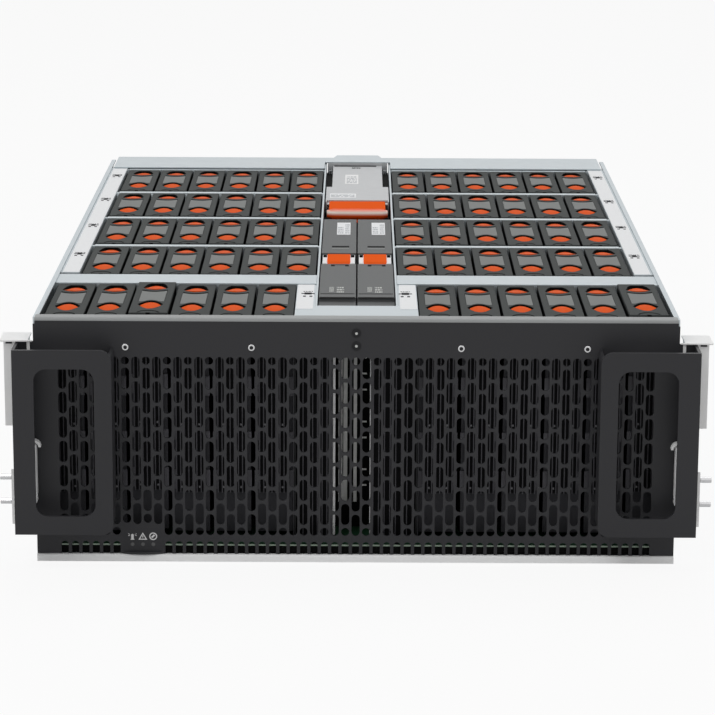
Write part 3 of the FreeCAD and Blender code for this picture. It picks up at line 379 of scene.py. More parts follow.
class Stock:
    """Faces collected for one piece."""

    AXES = {
        "x": lambda t, u, v: (t, u, v),
        "y": lambda t, u, v: (u, t, v),
        "z": lambda t, u, v: (u, v, t),
    }

    def __init__(self):
        self.bm = bmesh.new()

    def ring(self, axis, level, outline):
        place = self.AXES[axis]
        return [self.bm.verts.new(place(level, u, v)) for u, v in outline]

    def skin(self, first, second):
        """Walls between two rings of the same number of points."""
        for n in range(len(first)):
            self.bm.faces.new((first[n - 1], first[n], second[n], second[n - 1]))

    def lid(self, rings):
        """A flat face with holes: the first ring is the outline."""
        if len(rings) == 1:
            self.bm.faces.new(rings[0])
            return
        edges = []
        for ring in rings:
            for n in range(len(ring)):
                pair = (ring[n - 1], ring[n])
                edges.append(self.bm.edges.get(pair) or self.bm.edges.new(pair))
        bmesh.ops.triangle_fill(self.bm, use_beauty=True, use_dissolve=False, edges=edges)

    def plate(self, axis, start, end, outline, holes=()):
        """A closed prism across an axis, with holes right through."""
        low = [self.ring(axis, start, ring) for ring in (outline, *holes)]
        high = [self.ring(axis, end, ring) for ring in (outline, *holes)]
        for a, b in zip(low, high):
            self.skin(a, b)
        self.lid(low)
        self.lid(high)
        return self

    def block(self, x0, x1, y0, y1, z0, z1):
        """A rectangular block."""
        return self.plate("x", x0, x1, rectangle(y0, y1, z0, z1))

    def loft(self, axis, sections):
        """A closed solid through (level, outline) sections."""
        rings = [self.ring(axis, level, outline) for level, outline in sections]
        for a, b in zip(rings, rings[1:]):
            self.skin(a, b)
        self.lid(rings[:1])
        self.lid(rings[-1:])
        return self

    def pocketed(self, axis, top, bottom, outline, ease, pockets):
        """A block whose top edge is eased by (inset outline, drop), with pockets (outline, floor)."""
        inset, drop = ease
        rim = self.ring(axis, top, inset)
        shoulder = self.ring(axis, top - drop, outline)
        base = self.ring(axis, bottom, outline)
        mouths = [self.ring(axis, top, ring) for ring, _ in pockets]
        floors = [self.ring(axis, level, ring) for ring, level in pockets]
        self.skin(rim, shoulder)
        self.skin(shoulder, base)
        self.lid([rim] + mouths)
        self.lid([base])
        for mouth, floor in zip(mouths, floors):
            self.skin(mouth, floor)
            self.lid([floor])
        return self

    def cup(self, top, bottom, outline, mouth, floor):
        """A walled cup: its wall lies between two outlines of the same number of points."""
        base = self.ring("z", bottom, outline)
        rim = self.ring("z", top, outline)
        lip = self.ring("z", top, mouth)
        well = self.ring("z", floor, mouth)
        for first, second in ((base, rim), (rim, lip), (lip, well)):
            self.skin(first, second)
        self.lid([base])
        self.lid([well])
        return self

    def dome(self, half, y_low, y_high, height, base, across=10, along=6):
        """A crowned pad between two curves y_low(t) and y_high(t), t from -1 to 1 across it."""
        top = []
        reach = 0.96
        for i in range(across + 1):
            t = reach * (2 * i / across - 1)
            row = []
            for j in range(along + 1):
                s = j / along
                y = y_low(t) + (y_high(t) - y_low(t)) * s
                row.append(self.bm.verts.new((half * t, y, height(t, s))))
            top.append(row)
        for a, b in zip(top, top[1:]):
            for j in range(along):
                self.bm.faces.new((a[j], a[j + 1], b[j + 1], b[j]))
        border = [row[0] for row in top] + top[-1][1:]
        border += [row[-1] for row in top[-2::-1]] + top[0][-2:0:-1]
        foot = [self.bm.verts.new((v.co.x, v.co.y, base)) for v in border]
        self.skin(border, foot)
        self.lid([foot])
        return self

    def mesh(self, name):
        """The collected faces as a mesh with its normals outwards."""
        bmesh.ops.recalc_face_normals(self.bm, faces=self.bm.faces)
        made = bpy.data.meshes.new(name)
        self.bm.to_mesh(made)
        self.bm.free()
        return made


def finished(name, shape, finish, body="chassis", stands_for=(), easing=0.0, smooth=35.0):
    """A named piece of the object: its finish, its eased edges, and the body that it rides on."""
    mesh = shape.mesh(name) if isinstance(shape, Stock) else shape
    mesh.materials.clear()
    mesh.materials.append(FINISHES[finish].material)
    mesh.polygons.foreach_set("use_smooth", [True] * len(mesh.polygons))
    mesh.set_sharp_from_angle(angle=math.radians(smooth))
    piece = bpy.data.objects.new(name, mesh)
    bpy.context.scene.collection.objects.link(piece)
    if easing:
        bevel = piece.modifiers.new("eased", "BEVEL")
        bevel.width = easing
        bevel.segments = 2
        bevel.limit_method = "ANGLE"
        bevel.angle_limit = EASED_ANGLE
        bevel.harden_normals = True
    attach(piece, body)
    if stands_for:
        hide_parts(*stands_for)


def merged_copy(node):
    """A copy of a CAD node's mesh with its loose triangles joined and its flat faces whole."""
    bm = bmesh.new()
    bm.from_mesh(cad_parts[node].data)
    bmesh.ops.remove_doubles(bm, verts=bm.verts, dist=MERGE)
    bmesh.ops.dissolve_limit(bm, angle_limit=FLAT_ANGLE, verts=bm.verts, edges=bm.edges)
    mesh = bpy.data.meshes.new(node)
    bm.to_mesh(mesh)
    bm.free()
    return mesh


def eased(node, finish, easing, body="chassis"):
    """The CAD piece itself with its corners eased."""
    finished(node + "_dressed", merged_copy(node), finish, body, [node], easing)


# --- geometry trees
class Grower(Graph):
    """A Geometry Nodes tree with named inputs that turns into a plain mesh."""

    KINDS = {
        "object": "NodeSocketObject",
        "int": "NodeSocketInt",
        "float": "NodeSocketFloat",
        "vector": "NodeSocketVector",
        "material": "NodeSocketMaterial",
    }

    def __init__(self, name, inputs):
        super().__init__(bpy.data.node_groups.new(name, "GeometryNodeTree"))
        interface = self.tree.interface
        interface.new_socket("Geometry", in_out="INPUT", socket_type="NodeSocketGeometry")
        interface.new_socket("Geometry", in_out="OUTPUT", socket_type="NodeSocketGeometry")
        for label, kind in inputs.items():
            interface.new_socket(label, in_out="INPUT", socket_type=self.KINDS[kind])
        self.entry = self.node("NodeGroupInput")

    def given(self, label):
        return self.entry.outputs[label]

    def end(self, geometry):
        """Realizes the instances, sets the material and closes the tree."""
        whole = self.node("GeometryNodeRealizeInstances", Geometry=geometry)
        finish = self.given("Finish")
        painted = self.node("GeometryNodeSetMaterial", Geometry=whole.outputs[0], Material=finish)
        self.node("NodeGroupOutput", _0=painted.outputs[0])

    def grow(self, name, finish, mesh=None, **values):
        """The tree's result on a mesh, as a plain mesh."""
        seed = bpy.data.objects.new(name + "_seed", mesh or bpy.data.meshes.new(name + "_seed"))
        bpy.context.scene.collection.objects.link(seed)
        modifier = seed.modifiers.new("grow", "NODES")
        modifier.node_group = self.tree
        values["Finish"] = FINISHES[finish].material
        for item in self.tree.interface.items_tree:
            label = item.name.replace(" ", "_")
            if item.in_out == "INPUT" and label in values:
                modifier[item.identifier] = values[label]
        bpy.context.view_layer.update()
        shaped = seed.evaluated_get(bpy.context.evaluated_depsgraph_get())
        made = bpy.data.meshes.new_from_object(shaped)
        bpy.data.objects.remove(seed)
        made.name = name
        return made


def row_tree():
    """Copies of a pattern object along a line."""
    inputs = {"Pattern": "object", "Count": "int", "Start": "vector", "Step": "vector"}
    inputs["Finish"] = "material"
    tree = Grower("row_of_copies", inputs)
    start, step = tree.given("Start"), tree.given("Step")
    line = tree.node("GeometryNodeMeshLine", Count=tree.given("Count"), Start_Location=start, Offset=step)
    pattern = tree.node("GeometryNodeObjectInfo", Object=tree.given("Pattern"))
    shape = pattern.outputs["Geometry"]
    copies = tree.node("GeometryNodeInstanceOnPoints", Points=line.outputs[0], Instance=shape)
    tree.end(copies.outputs[0])
    return tree


ROW = row_tree()


def row_of(name, finish, pattern, count, start, step):
    """A mesh of copies of a pattern mesh along a line."""
    master = bpy.data.objects.new(name + "_pattern", pattern.copy())
    made = ROW.grow(name, finish, Pattern=master, Count=count, Start=start, Step=step)
    bpy.data.objects.remove(master)
    return made


def punched_tree():
    """An upright sheet cut from its outline, with round-ended slots of two lengths and round holes."""
    inputs = {"Slots": "object", "Short_Slots": "object", "Holes": "object"}
    inputs.update({"Width": "float", "Length": "float", "Short_Length": "float", "Thickness": "float"})
    inputs.update({"Place": "vector", "Finish": "material"})
    tree = Grower("punched_sheet", inputs)
    outline = tree.node("GeometryNodeMeshToCurve", Mesh=tree.given("Geometry"))
    joined = tree.node("GeometryNodeJoinGeometry", _0=outline.outputs[0])
    width = tree.given("Width")
    just_under_half = 0.4995
    round_end = {"operation": "MULTIPLY"}
    end_radius = tree.node("ShaderNodeMath", round_end, _0=width, _1=just_under_half)
    for centres, length in (("Slots", "Length"), ("Short_Slots", "Short_Length"), ("Holes", "Width")):
        blank = tree.node("GeometryNodeCurvePrimitiveQuadrilateral", Width=width, Height=tree.given(length))
        ended = tree.node("GeometryNodeFilletCurve", _0=blank.outputs[0])
        if "Mode" in ended.inputs:
            ended.inputs["Mode"].default_value = "Poly"
        else:
            ended.mode = "POLY"
        ended.inputs["Count"].default_value = CORNER_FACETS
        tree.tree.links.new(end_radius.outputs[0], ended.inputs["Radius"])
        points = tree.node("GeometryNodeObjectInfo", Object=tree.given(centres)).outputs["Geometry"]
        copies = tree.node("GeometryNodeInstanceOnPoints", Points=points, Instance=ended.outputs[0])
        cuts = tree.node("GeometryNodeRealizeInstances", Geometry=copies.outputs[0])
        tree.tree.links.new(cuts.outputs[0], joined.inputs[0])
    flat = tree.node("GeometryNodeFillCurve", _0=joined.outputs[0]).outputs[0]
    rise = tree.node("ShaderNodeCombineXYZ", Z=tree.given("Thickness")).outputs[0]
    pull = {"Mesh": flat, "Offset": rise, "Offset_Scale": 1.0, "Individual": False}
    raised = tree.node("GeometryNodeExtrudeMesh", **pull)
    back = tree.node("GeometryNodeFlipFaces", Mesh=flat)
    both = tree.node("GeometryNodeJoinGeometry", _0=raised.outputs[0])
    tree.tree.links.new(back.outputs[0], both.inputs[0])
    closed = tree.node("GeometryNodeMergeByDistance", _0=both.outputs[0], Distance=SHEET_MERGE).outputs[0]
    turn = (math.pi / 2, 0, 0)
    place = tree.given("Place")
    upright = tree.node("GeometryNodeTransform", Geometry=closed, Translation=place, Rotation=turn)
    tree.end(upright.outputs[0])
    return tree


def edge_loops(name, rings):
    """A mesh of closed loops of edges in the XY plane."""
    points, edges = [], []
    for ring in rings:
        first = len(points)
        points += [(u, v, 0.0) for u, v in ring]
        edges += [(first + n, first + (n + 1) % len(ring)) for n in range(len(ring))]
    mesh = bpy.data.meshes.new(name)
    mesh.from_pydata(points, edges, [])
    return mesh


def marks(name, points):
    """An object of loose points in the XY plane."""
    mesh = bpy.data.meshes.new(name)
    mesh.from_pydata([(u, v, 0.0) for u, v in points], [], [])
    return bpy.data.objects.new(name, mesh)


def column_marks():
    """Centres of the slots, the short slots over the status patch, and the round holes."""
    slots, short, holes = [], [], []
    full = 7
    for column in range(-COLUMNS_EACH_SIDE, COLUMNS_EACH_SIDE + 1):
        x = column * SLOT_PITCH
        odd = column % 2 == 1
        patch = column in PATCH_COLUMNS
        start = GRILLE_TOP - SLOT_LENGTH - (full - 1) * SLOT_RISE if odd else GRILLE_BOTTOM
        for n in range(full):
            bottom = start + n * SLOT_RISE
            if patch and bottom < GRILLE_BOTTOM + PATCH_ROOM / 2:
                short.append((x, bottom + SLOT_LENGTH - (SLOT_LENGTH - PATCH_ROOM) / 2))
            else:
                slots.append((x, bottom + SLOT_LENGTH / 2))
        hole = GRILLE_BOTTOM + SLOT_WIDTH / 2 if odd else GRILLE_TOP - SLOT_WIDTH / 2
        if not (odd and patch):
            holes.append((x, hole))
    return slots, short, holes


def front_bezel():
    """The perforated front with its comb of arched notches, its rolled top edge and its status shelf."""
    low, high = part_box("front_bezel")
    bottom = low.z
    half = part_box("chassis_tray")[1].x
    ear = high.x
    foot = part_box("handle_left")[0].z
    ear_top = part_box("rack_brackets")[1].z - BRACKET_SHEET
    top = high.z - ROLL_RADIUS
    relief = CORNER_RELIEF
    wide = half - relief / 2
    comb = []
    notch = NOTCH_WIDTH / 2
    for column in range(-COLUMNS_EACH_SIDE, COLUMNS_EACH_SIDE + 1):
        if column in PATCH_COLUMNS:
            continue
        x = column * SLOT_PITCH
        arch = circle(x, bottom + NOTCH_HEIGHT - notch, notch, 8, math.pi, -math.pi)
        comb += [(x - notch, bottom)] + arch + [(x + notch, bottom)]
    right = [
        (half, bottom),
        (half, foot - relief),
        (wide, foot - relief),
        (wide, foot),
        (ear, foot),
        (ear, ear_top),
        (half, ear_top),
        (half, top - relief),
        (wide, top - relief),
        (wide, top),
    ]
    left = [(-x, z) for x, z in reversed(right)]
    slots, short, holes = column_marks()
    sheet = punched_tree().grow(
        "front_bezel_sheet",
        "black",
        edge_loops("bezel_outline", [comb + right + left]),
        Slots=marks("slot_centres", slots),
        Short_Slots=marks("short_slot_centres", short),
        Holes=marks("hole_centres", holes),
        Width=SLOT_WIDTH,
        Length=SLOT_LENGTH,
        Short_Length=SLOT_LENGTH - PATCH_ROOM,
        Thickness=BEZEL_SHEET,
        Place=(0.0, BEZEL_FACE + BEZEL_SHEET, 0.0),
    )
    finished("front_bezel_sheet", sheet, "black", stands_for=["front_bezel"])
    centre_y = BEZEL_FACE + ROLL_RADIUS
    inner = ROLL_RADIUS - BEZEL_SHEET
    outside = circle(centre_y, top, ROLL_RADIUS, 8, math.pi, -math.pi / 2)
    inside = circle(centre_y, top, inner, 4, math.pi / 2, math.pi / 2)
    lip = [(high.y, high.z), (high.y, high.z - BEZEL_SHEET)]
    roll = Stock().plate("x", -wide, wide, outside + lip + inside)
    # The rolled edge is a lighter grey than the black coat: painted highlight.
    finished("bezel_rolled_edge", roll, "sheen")
    patch_x = SLOT_PITCH * (PATCH_COLUMNS[0] + PATCH_COLUMNS[-1]) / 2
    reach = BEZEL_FACE - low.y
    curve = [(patch_x + SHELF_HALF * t, BEZEL_FACE - reach * (1 - t**2)) for t in spread(1, SHELF_STEPS)]
    shelf = Stock().plate("z", bottom, bottom + BEZEL_SHEET, curve)
    finished("status_shelf", shelf, "black", easing=0.0004)


# --- drives
def opening_outlines(inset):
    """The outlines of a cap's front and rear finger openings, drawn in by an inset."""
    near, tips, far = FRONT_LENS
    front = lens(LENS_HALF - inset, near + inset, tips, far - inset)
    near, tips, far = REAR_LENS
    rear = hood(LENS_HALF - inset, near + inset, tips, far - inset, REAR_LENS_FLAT)
    return front, rear


def cap_mesh():
    """The moulded cap of a carrier, from the middle of its front top edge: openings, window seat, grooves."""
    w = CARRIER_WIDTH / 2
    ease = CAP_EASE
    outline = rectangle(-w, w, 0.0, CARRIER_LENGTH)
    inset = rectangle(-w + ease, w - ease, ease, CARRIER_LENGTH - ease)
    front, rear = opening_outlines(0.0)
    pockets = [(front, -POCKET_DEPTH), (rear, -POCKET_DEPTH)]
    pockets.append((window_outline(WINDOW_HALF + WINDOW_SEAT, WINDOW_SEAT), -WINDOW_DEPTH))
    pockets.append((window_line(), -GROOVE_DEPTH))
    pockets.append((edge_arc(), -GROOVE_DEPTH))
    stock = Stock().pocketed("z", 0.0, -CAP_HEIGHT, outline, (inset, ease), pockets)
    return stock.mesh("carrier_cap")


def sagging(x, ends, middle):
    """The Y of a shallow curve across a cap, from its ends to its middle."""
    return middle + (ends - middle) * (x / LENS_HALF) ** 2


def window_outline(half, margin):
    """The lighter panel between the two finger openings: its front end follows the front opening."""
    _, tips, far = FRONT_LENS
    sag, ends = WINDOW_LINE
    xs = spread(half, 5)
    least = tips + WINDOW_SIDE
    front = [(x, max(sagging(x, tips, far), least) + WINDOW_GAP_FRONT - margin) for x in xs]
    rear = [(x, sagging(x, ends, sag) - WINDOW_GAP_REAR + margin) for x in reversed(xs)]
    return front + rear


def window_line():
    """The thin dark groove behind the window."""
    sag, ends = WINDOW_LINE
    xs = spread(LENS_HALF, 4)
    low = [(x, sagging(x, ends, sag)) for x in xs]
    return low + [(x, sagging(x, ends, sag) + WINDOW_LINE_WIDTH) for x in reversed(xs)]


def edge_arc():
    """The arched groove at the cap's front edge."""
    half, rise = EDGE_ARC
    angles = [math.pi * n / 8 for n in range(9)]
    foot = 2 * CAP_EASE
    outer = [(half * math.cos(a), foot + rise * math.sin(a)) for a in angles]
    thin, thick = EDGE_ARC_WIDTH
    inner = [((half - thin) * math.cos(a), foot + (rise - thick) * math.sin(a)) for a in reversed(angles)]
    return outer + inner


def shade_cup_mesh():
    """Painted shade inside both finger openings: two black cups, and the small catch at the front edge."""
    stock = Stock()
    floor = -POCKET_DEPTH + CUP_WALL
    for outer, inner in zip(opening_outlines(CUP_PLAY), opening_outlines(CUP_WALL)):
        stock.cup(-SINK, -POCKET_DEPTH + CUP_PLAY, outer, inner, floor)
    stock.block(-CATCH_HALF, CATCH_HALF, *CATCH_ALONG, -CATCH_DEPTH, SINK)
    return stock.mesh("opening_liners")


def leg_mesh():
    """The carrier's front and rear legs under the cap."""
    stock = Stock()
    low = -CAP_HEIGHT - LEG_LENGTH
    for y0 in (0.0, CARRIER_LENGTH - LEG_THICKNESS):
        stock.block(-LEG_HALF, LEG_HALF, y0, y0 + LEG_THICKNESS, low, -CAP_HEIGHT)
    return stock.mesh("carrier_leg")


def rib_mesh():
    """Upright ribs on the front of a leg."""
    stock = Stock()
    low = -CAP_HEIGHT - LEG_LENGTH
    for n in range(RIBS):
        x = -LEG_HALF + (2 * LEG_HALF - RIB_WIDTH) * n / (RIBS - 1)
        stock.block(x, x + RIB_WIDTH, -RIB_DEPTH, 0.0, low, -CAP_HEIGHT)
    return stock.mesh("carrier_ribs")


def rung_mesh():
    """Short rungs that reach from one carrier's frame over the gap, at four heights."""
    stock = Stock()
    w = CARRIER_WIDTH / 2
    for top, height in RUNG_ROWS:
        for side in (-1, 1):
            x0, x1 = sorted((side * LEG_HALF, side * w))
            stock.block(x0, x1, 0.0, LEG_THICKNESS, top - height, top)
    return stock.mesh("carrier_rungs")


def stud_mesh():
    """The ends of the mounting studs on a carrier's front, in two level rows."""
    stock = Stock()
    r = STUD_HALF
    for z in STUD_LEVELS:
        for x in STUD_PLACES:
            stock.block(x - r, x + r, *STUD_REACH, z - r, z + r)
    return stock.mesh("carrier_studs")


def disk_mesh():
    """A bare disk: the case and the lid, in the carrier's own frame."""
    low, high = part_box("drive_a01_disk")
    origin = carrier_origin()
    stock = Stock()
    half = (high.x - low.x) / 2
    stock.block(-half, half, low.y - origin.y, high.y - origin.y, low.z - origin.z, high.z - origin.z)
    return stock.mesh("disk")


def carrier_origin():
    """The middle of the front top edge of the first drive."""
    low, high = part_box("drive_a01_carrier")
    return Vector(((low.x + high.x) / 2, low.y, high.z))


def pad_mesh(rear):
    """An orange finger pad: a crowned slope, with the room that it needs to slide towards the middle."""
    near, tips, far = REAR_LENS if rear else FRONT_LENS
    half = LENS_HALF * PAD_SHARE
    room = PAD_TRAVEL + PAD_PLAY
    slope = REAR_PAD_SLOPE if rear else PAD_SLOPE
    drop = 0.0 if rear else PAD_DROP

    def share(t):
        return 1 - (t * PAD_SHARE) ** 2

    def low(t):
        return tips + (near - tips) * share(t) + (room if rear else PAD_INSET)

    def high(t):
        if rear:
            return tips + (far - tips) * REAR_PAD_REACH * share(t) ** 0.8 + PAD_INSET
        return tips + (far - tips) * share(t) - room

    def height(t, s):
        fall = s if rear else 1 - s
        return -drop - PAD_CROWN * t * t - slope * fall**1.5

    return Stock().dome(half, low, high, height, PAD_BASE).mesh("finger_pad")


def window_mesh():
    """The lighter panel of a cap."""
    outline = window_outline(WINDOW_HALF, 0.0)
    return Stock().plate("z", -WINDOW_DEPTH, WINDOW_PROUD, outline).mesh("cap_window")


PATTERNS = (
    ("caps", "carrier", cap_mesh()),
    ("windows", "window", window_mesh()),
    ("legs", "leg", leg_mesh()),
    ("ribs", "rib", rib_mesh()),
    ("rungs", "rib", rung_mesh()),
    ("studs", "stud", stud_mesh()),
    ("disks", "disk", disk_mesh()),
    # Black cups in the finger openings: painted shade.
    ("liners", "pocket", shade_cup_mesh()),
    ("pads_front", "pad", pad_mesh(False)),
    ("pads_rear", "pad", pad_mesh(True)),
)
GROUPS = ["drives_%s_%s" % (row, side) for row in "bcde" for side in ("left", "right")]


def drive_pieces(tag, bodies, count, x, y, z):
    """Every piece of a row of drives; bodies name what the carrier and the pads ride on."""
    for word, finish, pattern in PATTERNS:
        mesh = row_of(tag + "_" + word, finish, pattern, count, (x, y, z), (DRIVE_PITCH, 0.0, 0.0))
        nodes = bodies.get(word + "_node", [])
        finished(tag + "_" + word, mesh, finish, bodies.get(word, bodies["drive"]), nodes)


def all_drives():
    """Row A drive by drive, the rows behind it in groups of six."""
    bodies = {
        "drive": "drive_a01",
        "pads_front": "drive_a01_front_pad",
        "pads_rear": "drive_a01_rear_pad",
        "caps_node": ["drive_a01_carrier"],
        "disks_node": ["drive_a01_disk"],
        "pads_front_node": ["drive_a01_pad_front"],
        "pads_rear_node": ["drive_a01_pad_rear"],
    }
    drive_pieces("drive_a01", bodies, 1, *carrier_origin())
    for name in ["drive_a%02d" % n for n in range(2, 13)] + GROUPS:
        low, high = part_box(name)
        count, x = (6, low.x + GROUP_INSET) if name in GROUPS else (1, (low.x + high.x) / 2)
        drive_pieces(name, {"drive": name, "caps_node": [name]}, count, x, low.y, high.z)


# --- modules and their labels
def printed(stock, x0, x1, y0, y1, top, rows, seed):
    """Rows of short bars and dots in a fixed rhythm, as plain generic marks on a level face."""
    width = x1 - x0
    step = (y1 - y0) / rows
    shortest, growth, gap, tall = 0.08, 0.07, 0.07, 0.55
    for row in range(rows):
        x = x0
        n = seed + row
        while x < x1:
            length = width * (shortest + growth * (n * 7 % 5))
            stock.block(x, min(x + length, x1), y0 + row * step, y0 + (row + tall) * step, top, top + PRINT)
            x += length + width * gap
            n += 3


class Dressing:
    """Flat details on a level face, collected by finish, then placed as pieces named after the body."""

    def __init__(self, body, x, y, **finishes):
        self.body = body
        self.origin = (x, y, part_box(body)[1].z)
        self.finishes = finishes
        self.stocks = {word: Stock() for word in finishes}

    def lay(self, word, heights, *spots):
        """Blocks from one height to another over the face, each between two pairs of sides."""
        x, y, z = self.origin
        low, high = heights
        for (x0, x1), (y0, y1) in spots:
            self.stocks[word].block(x + x0, x + x1, y + y0, y + y1, z + low, z + high)

    def write(self, word, lift, rows, seed, spot):
        """Rows of printed bars between two pairs of sides."""
        x, y, z = self.origin
        (x0, x1), (y0, y1) = spot
        printed(self.stocks[word], x + x0, x + x1, y + y0, y + y1, z + lift, rows, seed)

    def place(self):
        for word, finish in self.finishes.items():
            finished(self.body + "_" + word, self.stocks[word], finish, self.body)


FLUSH = (-SINK, PRINT)
STUCK_ON = (0.0, STICKER)

# Every spot below is a pair of sides across, then a pair along from the front end of its body.
MODULE_LABEL = ((-0.0022, 0.0086), (0.2655, 0.3165))
MODULE_TITLE = ((-0.0014, 0.0030), (0.2700, 0.3000))
MODULE_NOTES = ((0.0044, 0.0078), (0.2700, 0.3120))
MODULE_MARK_LEFT = ((-0.0061, -0.0027), (0.0485, 0.0660))
MODULE_MARK_RIGHT = ((-0.0006, 0.0047), (0.0455, 0.0680))
# A lighter strip in front of the first slot: painted highlight.
MODULE_SLOT_HIGHLIGHT = ((-0.0057, 0.0078), (0.2050, 0.2125))
MODULE_SLOTS = (
    ((-0.0057, 0.0078), (0.2130, 0.2190)),
    ((-0.0057, -0.0029), (0.1405, 0.1465)),
    ((0.0050, 0.0078), (0.1405, 0.1465)),
    ((-0.0029, 0.0050), (0.1448, 0.1462)),
)
MODULE_SEAMS = ((0.0010, (0.0405, 0.0420)), (0.0004, (0.0255, 0.0300)))
LEVER_SEATS = (((-0.0124, -0.0086), (0.1560, 0.1880)), ((0.0086, 0.0124), (0.1560, 0.1880)))
LEVER_SEAT_HEIGHTS = (-0.0040, -0.0010)


def module_dress(word):
    """A tall module's label, marks, slots and seams, a lighter strip by its first slot as painted highlight,
    and the light seats beside its lever.
    """
    body = "module_" + word
    low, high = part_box(body)
    finishes = {"label": "label", "ink": "faint_print", "marks": "mark", "slots": "pocket", "steps": "window"}
    dress = Dressing(body, (low.x + high.x) / 2, low.y, **finishes)
    half = (high.x - low.x) / 2
    dress.lay("label", STUCK_ON, MODULE_LABEL)
    dress.write("ink", STICKER, 4, 1, MODULE_TITLE)
    dress.write("ink", STICKER, 5, 2, MODULE_NOTES)
    dress.write("marks", 0.0, 5, 4, MODULE_MARK_LEFT)
    dress.write("marks", 0.0, 3, 3, MODULE_MARK_RIGHT)
    # The lighter strip is painted highlight.
    dress.lay("steps", FLUSH, MODULE_SLOT_HIGHLIGHT)
    dress.lay("slots", FLUSH, *MODULE_SLOTS)
    dress.lay("slots", FLUSH, *(((margin - half, half - margin), along) for margin, along in MODULE_SEAMS))
    dress.lay("label", LEVER_SEAT_HEIGHTS, *LEVER_SEATS)
    dress.place()


def bar_profile(y, z, radius, rise, facets=14):
    """A round bar's (y, z) outline, a little taller than it is deep."""
    return [(y + u, z + v * rise) for u, v in circle(0.0, 0.0, radius, facets)]


BAR_RADIUS = 0.0048
BAR_BOW = 0.0008
BAR_SECTIONS = 6
BAR_END = (0.84, 0.35)
BAR_FLATTEN = 0.96
BAR_OVERHANG = 0.0018
BAR_PLATE = 0.0040
BAR_STEP = 0.0002
BAR_RIB = (0.003, 0.006)
BAR_RIB_INSET = 0.002
KNUCKLE_OVERLAP = 0.0030
KNUCKLE_RADIUS = 0.0031


def pull_bar():
    """The orange pull bar of the I/O module: a flat plate on a knuckle, with a wider, bowed, rounded nose."""
    body = "io_pull_bar"
    low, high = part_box(body)
    half = high.x
    taper_start, taper = BAR_END
    sections = []
    for t in spread(1, BAR_SECTIONS):
        end = 1.0 - taper * max(0.0, abs(t) - taper_start) / (1 - taper_start)
        y = low.y + BAR_RADIUS + BAR_BOW * t * t
        sections.append((half * t, bar_profile(y, high.z - BAR_RADIUS, BAR_RADIUS * end, BAR_FLATTEN)))
    nose = Stock().loft("x", sections)
    # The nose's pale stripe is painted highlight.
    finished(body + "_nose", nose, "bar", body, smooth=60.0)
    narrow = half - BAR_OVERHANG
    top = high.z - BAR_STEP
    centre = high.y - KNUCKLE_RADIUS - SINK
    flat = Stock()
    flat.block(-narrow, narrow, low.y + BAR_RADIUS, high.y - KNUCKLE_OVERLAP, top - BAR_PLATE, top)
    flat.plate("x", -narrow, narrow, bar_profile(centre, top - KNUCKLE_RADIUS, KNUCKLE_RADIUS, 1.0))
    inner = narrow - BAR_RIB_INSET
    near, far = (low.y + setback for setback in BAR_RIB)
    flat.block(-inner, inner, near, far, low.z, high.z - BAR_RADIUS)
    finished(body + "_plate", flat, "orange", body, [body], 0.0006)


# Along from the pull bar's rear edge.
IO_LABEL = ((-0.0235, -0.0010), (0.0115, 0.0315))
IO_LABEL_ROWS = ((-0.0225, -0.0025), (0.0150, 0.0270))
IO_SQUARE = ((-0.0108, 0.0008), (0.0790, 0.1260))
IO_SQUARE_ROWS = ((-0.0095, -0.0005), (0.0830, 0.1200))
IO_MARKS = ((-0.0050, 0.0026), (0.1600, 0.1670))
# Along from the module's rear end.
IO_SLOT = ((-0.0212, 0.0170), (-0.0055, -0.0005))
IO_SIDE = 0.0220
IO_SHADE = (0.0002, 0.0056)
IO_STRIP = (0.0014, 0.0040)
IO_SHADE_ALONG = (-0.1085, 0.0)
IO_STRIP_ALONG = (-0.1065, -0.0855)
IO_SHADE_HEIGHTS = (-0.0080, -0.0065)
IO_STRIP_HEIGHTS = (-0.0065, -0.0045)
IO_SCREW_HEIGHTS = (-0.0065, -0.0030)
IO_SCREW = 0.0017
IO_SCREW_FROM_REAR = 0.0080


def io_dress():
    """Labels, marks and the dark slots of the I/O module, with black strips along its sides as painted
    shadow.
    """
    top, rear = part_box("io_module")[1].z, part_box("io_module")[1].y
    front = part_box("io_pull_bar")[1].y
    finishes = {"label": "label", "ink": "faint_print", "plate": "zinc_bright", "slots": "pocket"}
    dress = Dressing("io_module", 0.0, front, **finishes, screws="nickel")
    dress.lay("label", STUCK_ON, IO_LABEL)
    dress.write("ink", STICKER, 3, 2, IO_LABEL_ROWS)
    dress.lay("plate", STUCK_ON, IO_SQUARE)
    dress.write("ink", STICKER, 5, 1, IO_SQUARE_ROWS)
    dress.write("slots", 0.0, 2, 2, IO_MARKS)
    dress.origin = (0.0, rear, top)
    dress.lay("slots", FLUSH, IO_SLOT)
    low, high = (top + height for height in IO_SCREW_HEIGHTS)
    for side in (-1, 1):
        shade, strip = (sorted(side * (IO_SIDE + out) for out in pair) for pair in (IO_SHADE, IO_STRIP))
        # Black strips along the sides: painted shadow.
        dress.lay("slots", IO_SHADE_HEIGHTS, (shade, IO_SHADE_ALONG))
        head = circle(sum(strip) / 2, rear - IO_SCREW_FROM_REAR, IO_SCREW)
        dress.stocks["screws"].plate("z", low, high, head)
        dress.lay("screws", IO_STRIP_HEIGHTS, (strip, IO_STRIP_ALONG))
    dress.place()


STRIP_INSET = 0.0060
PLATE_MARK = 0.0351
PLATE_MARK_RISE = 0.0003
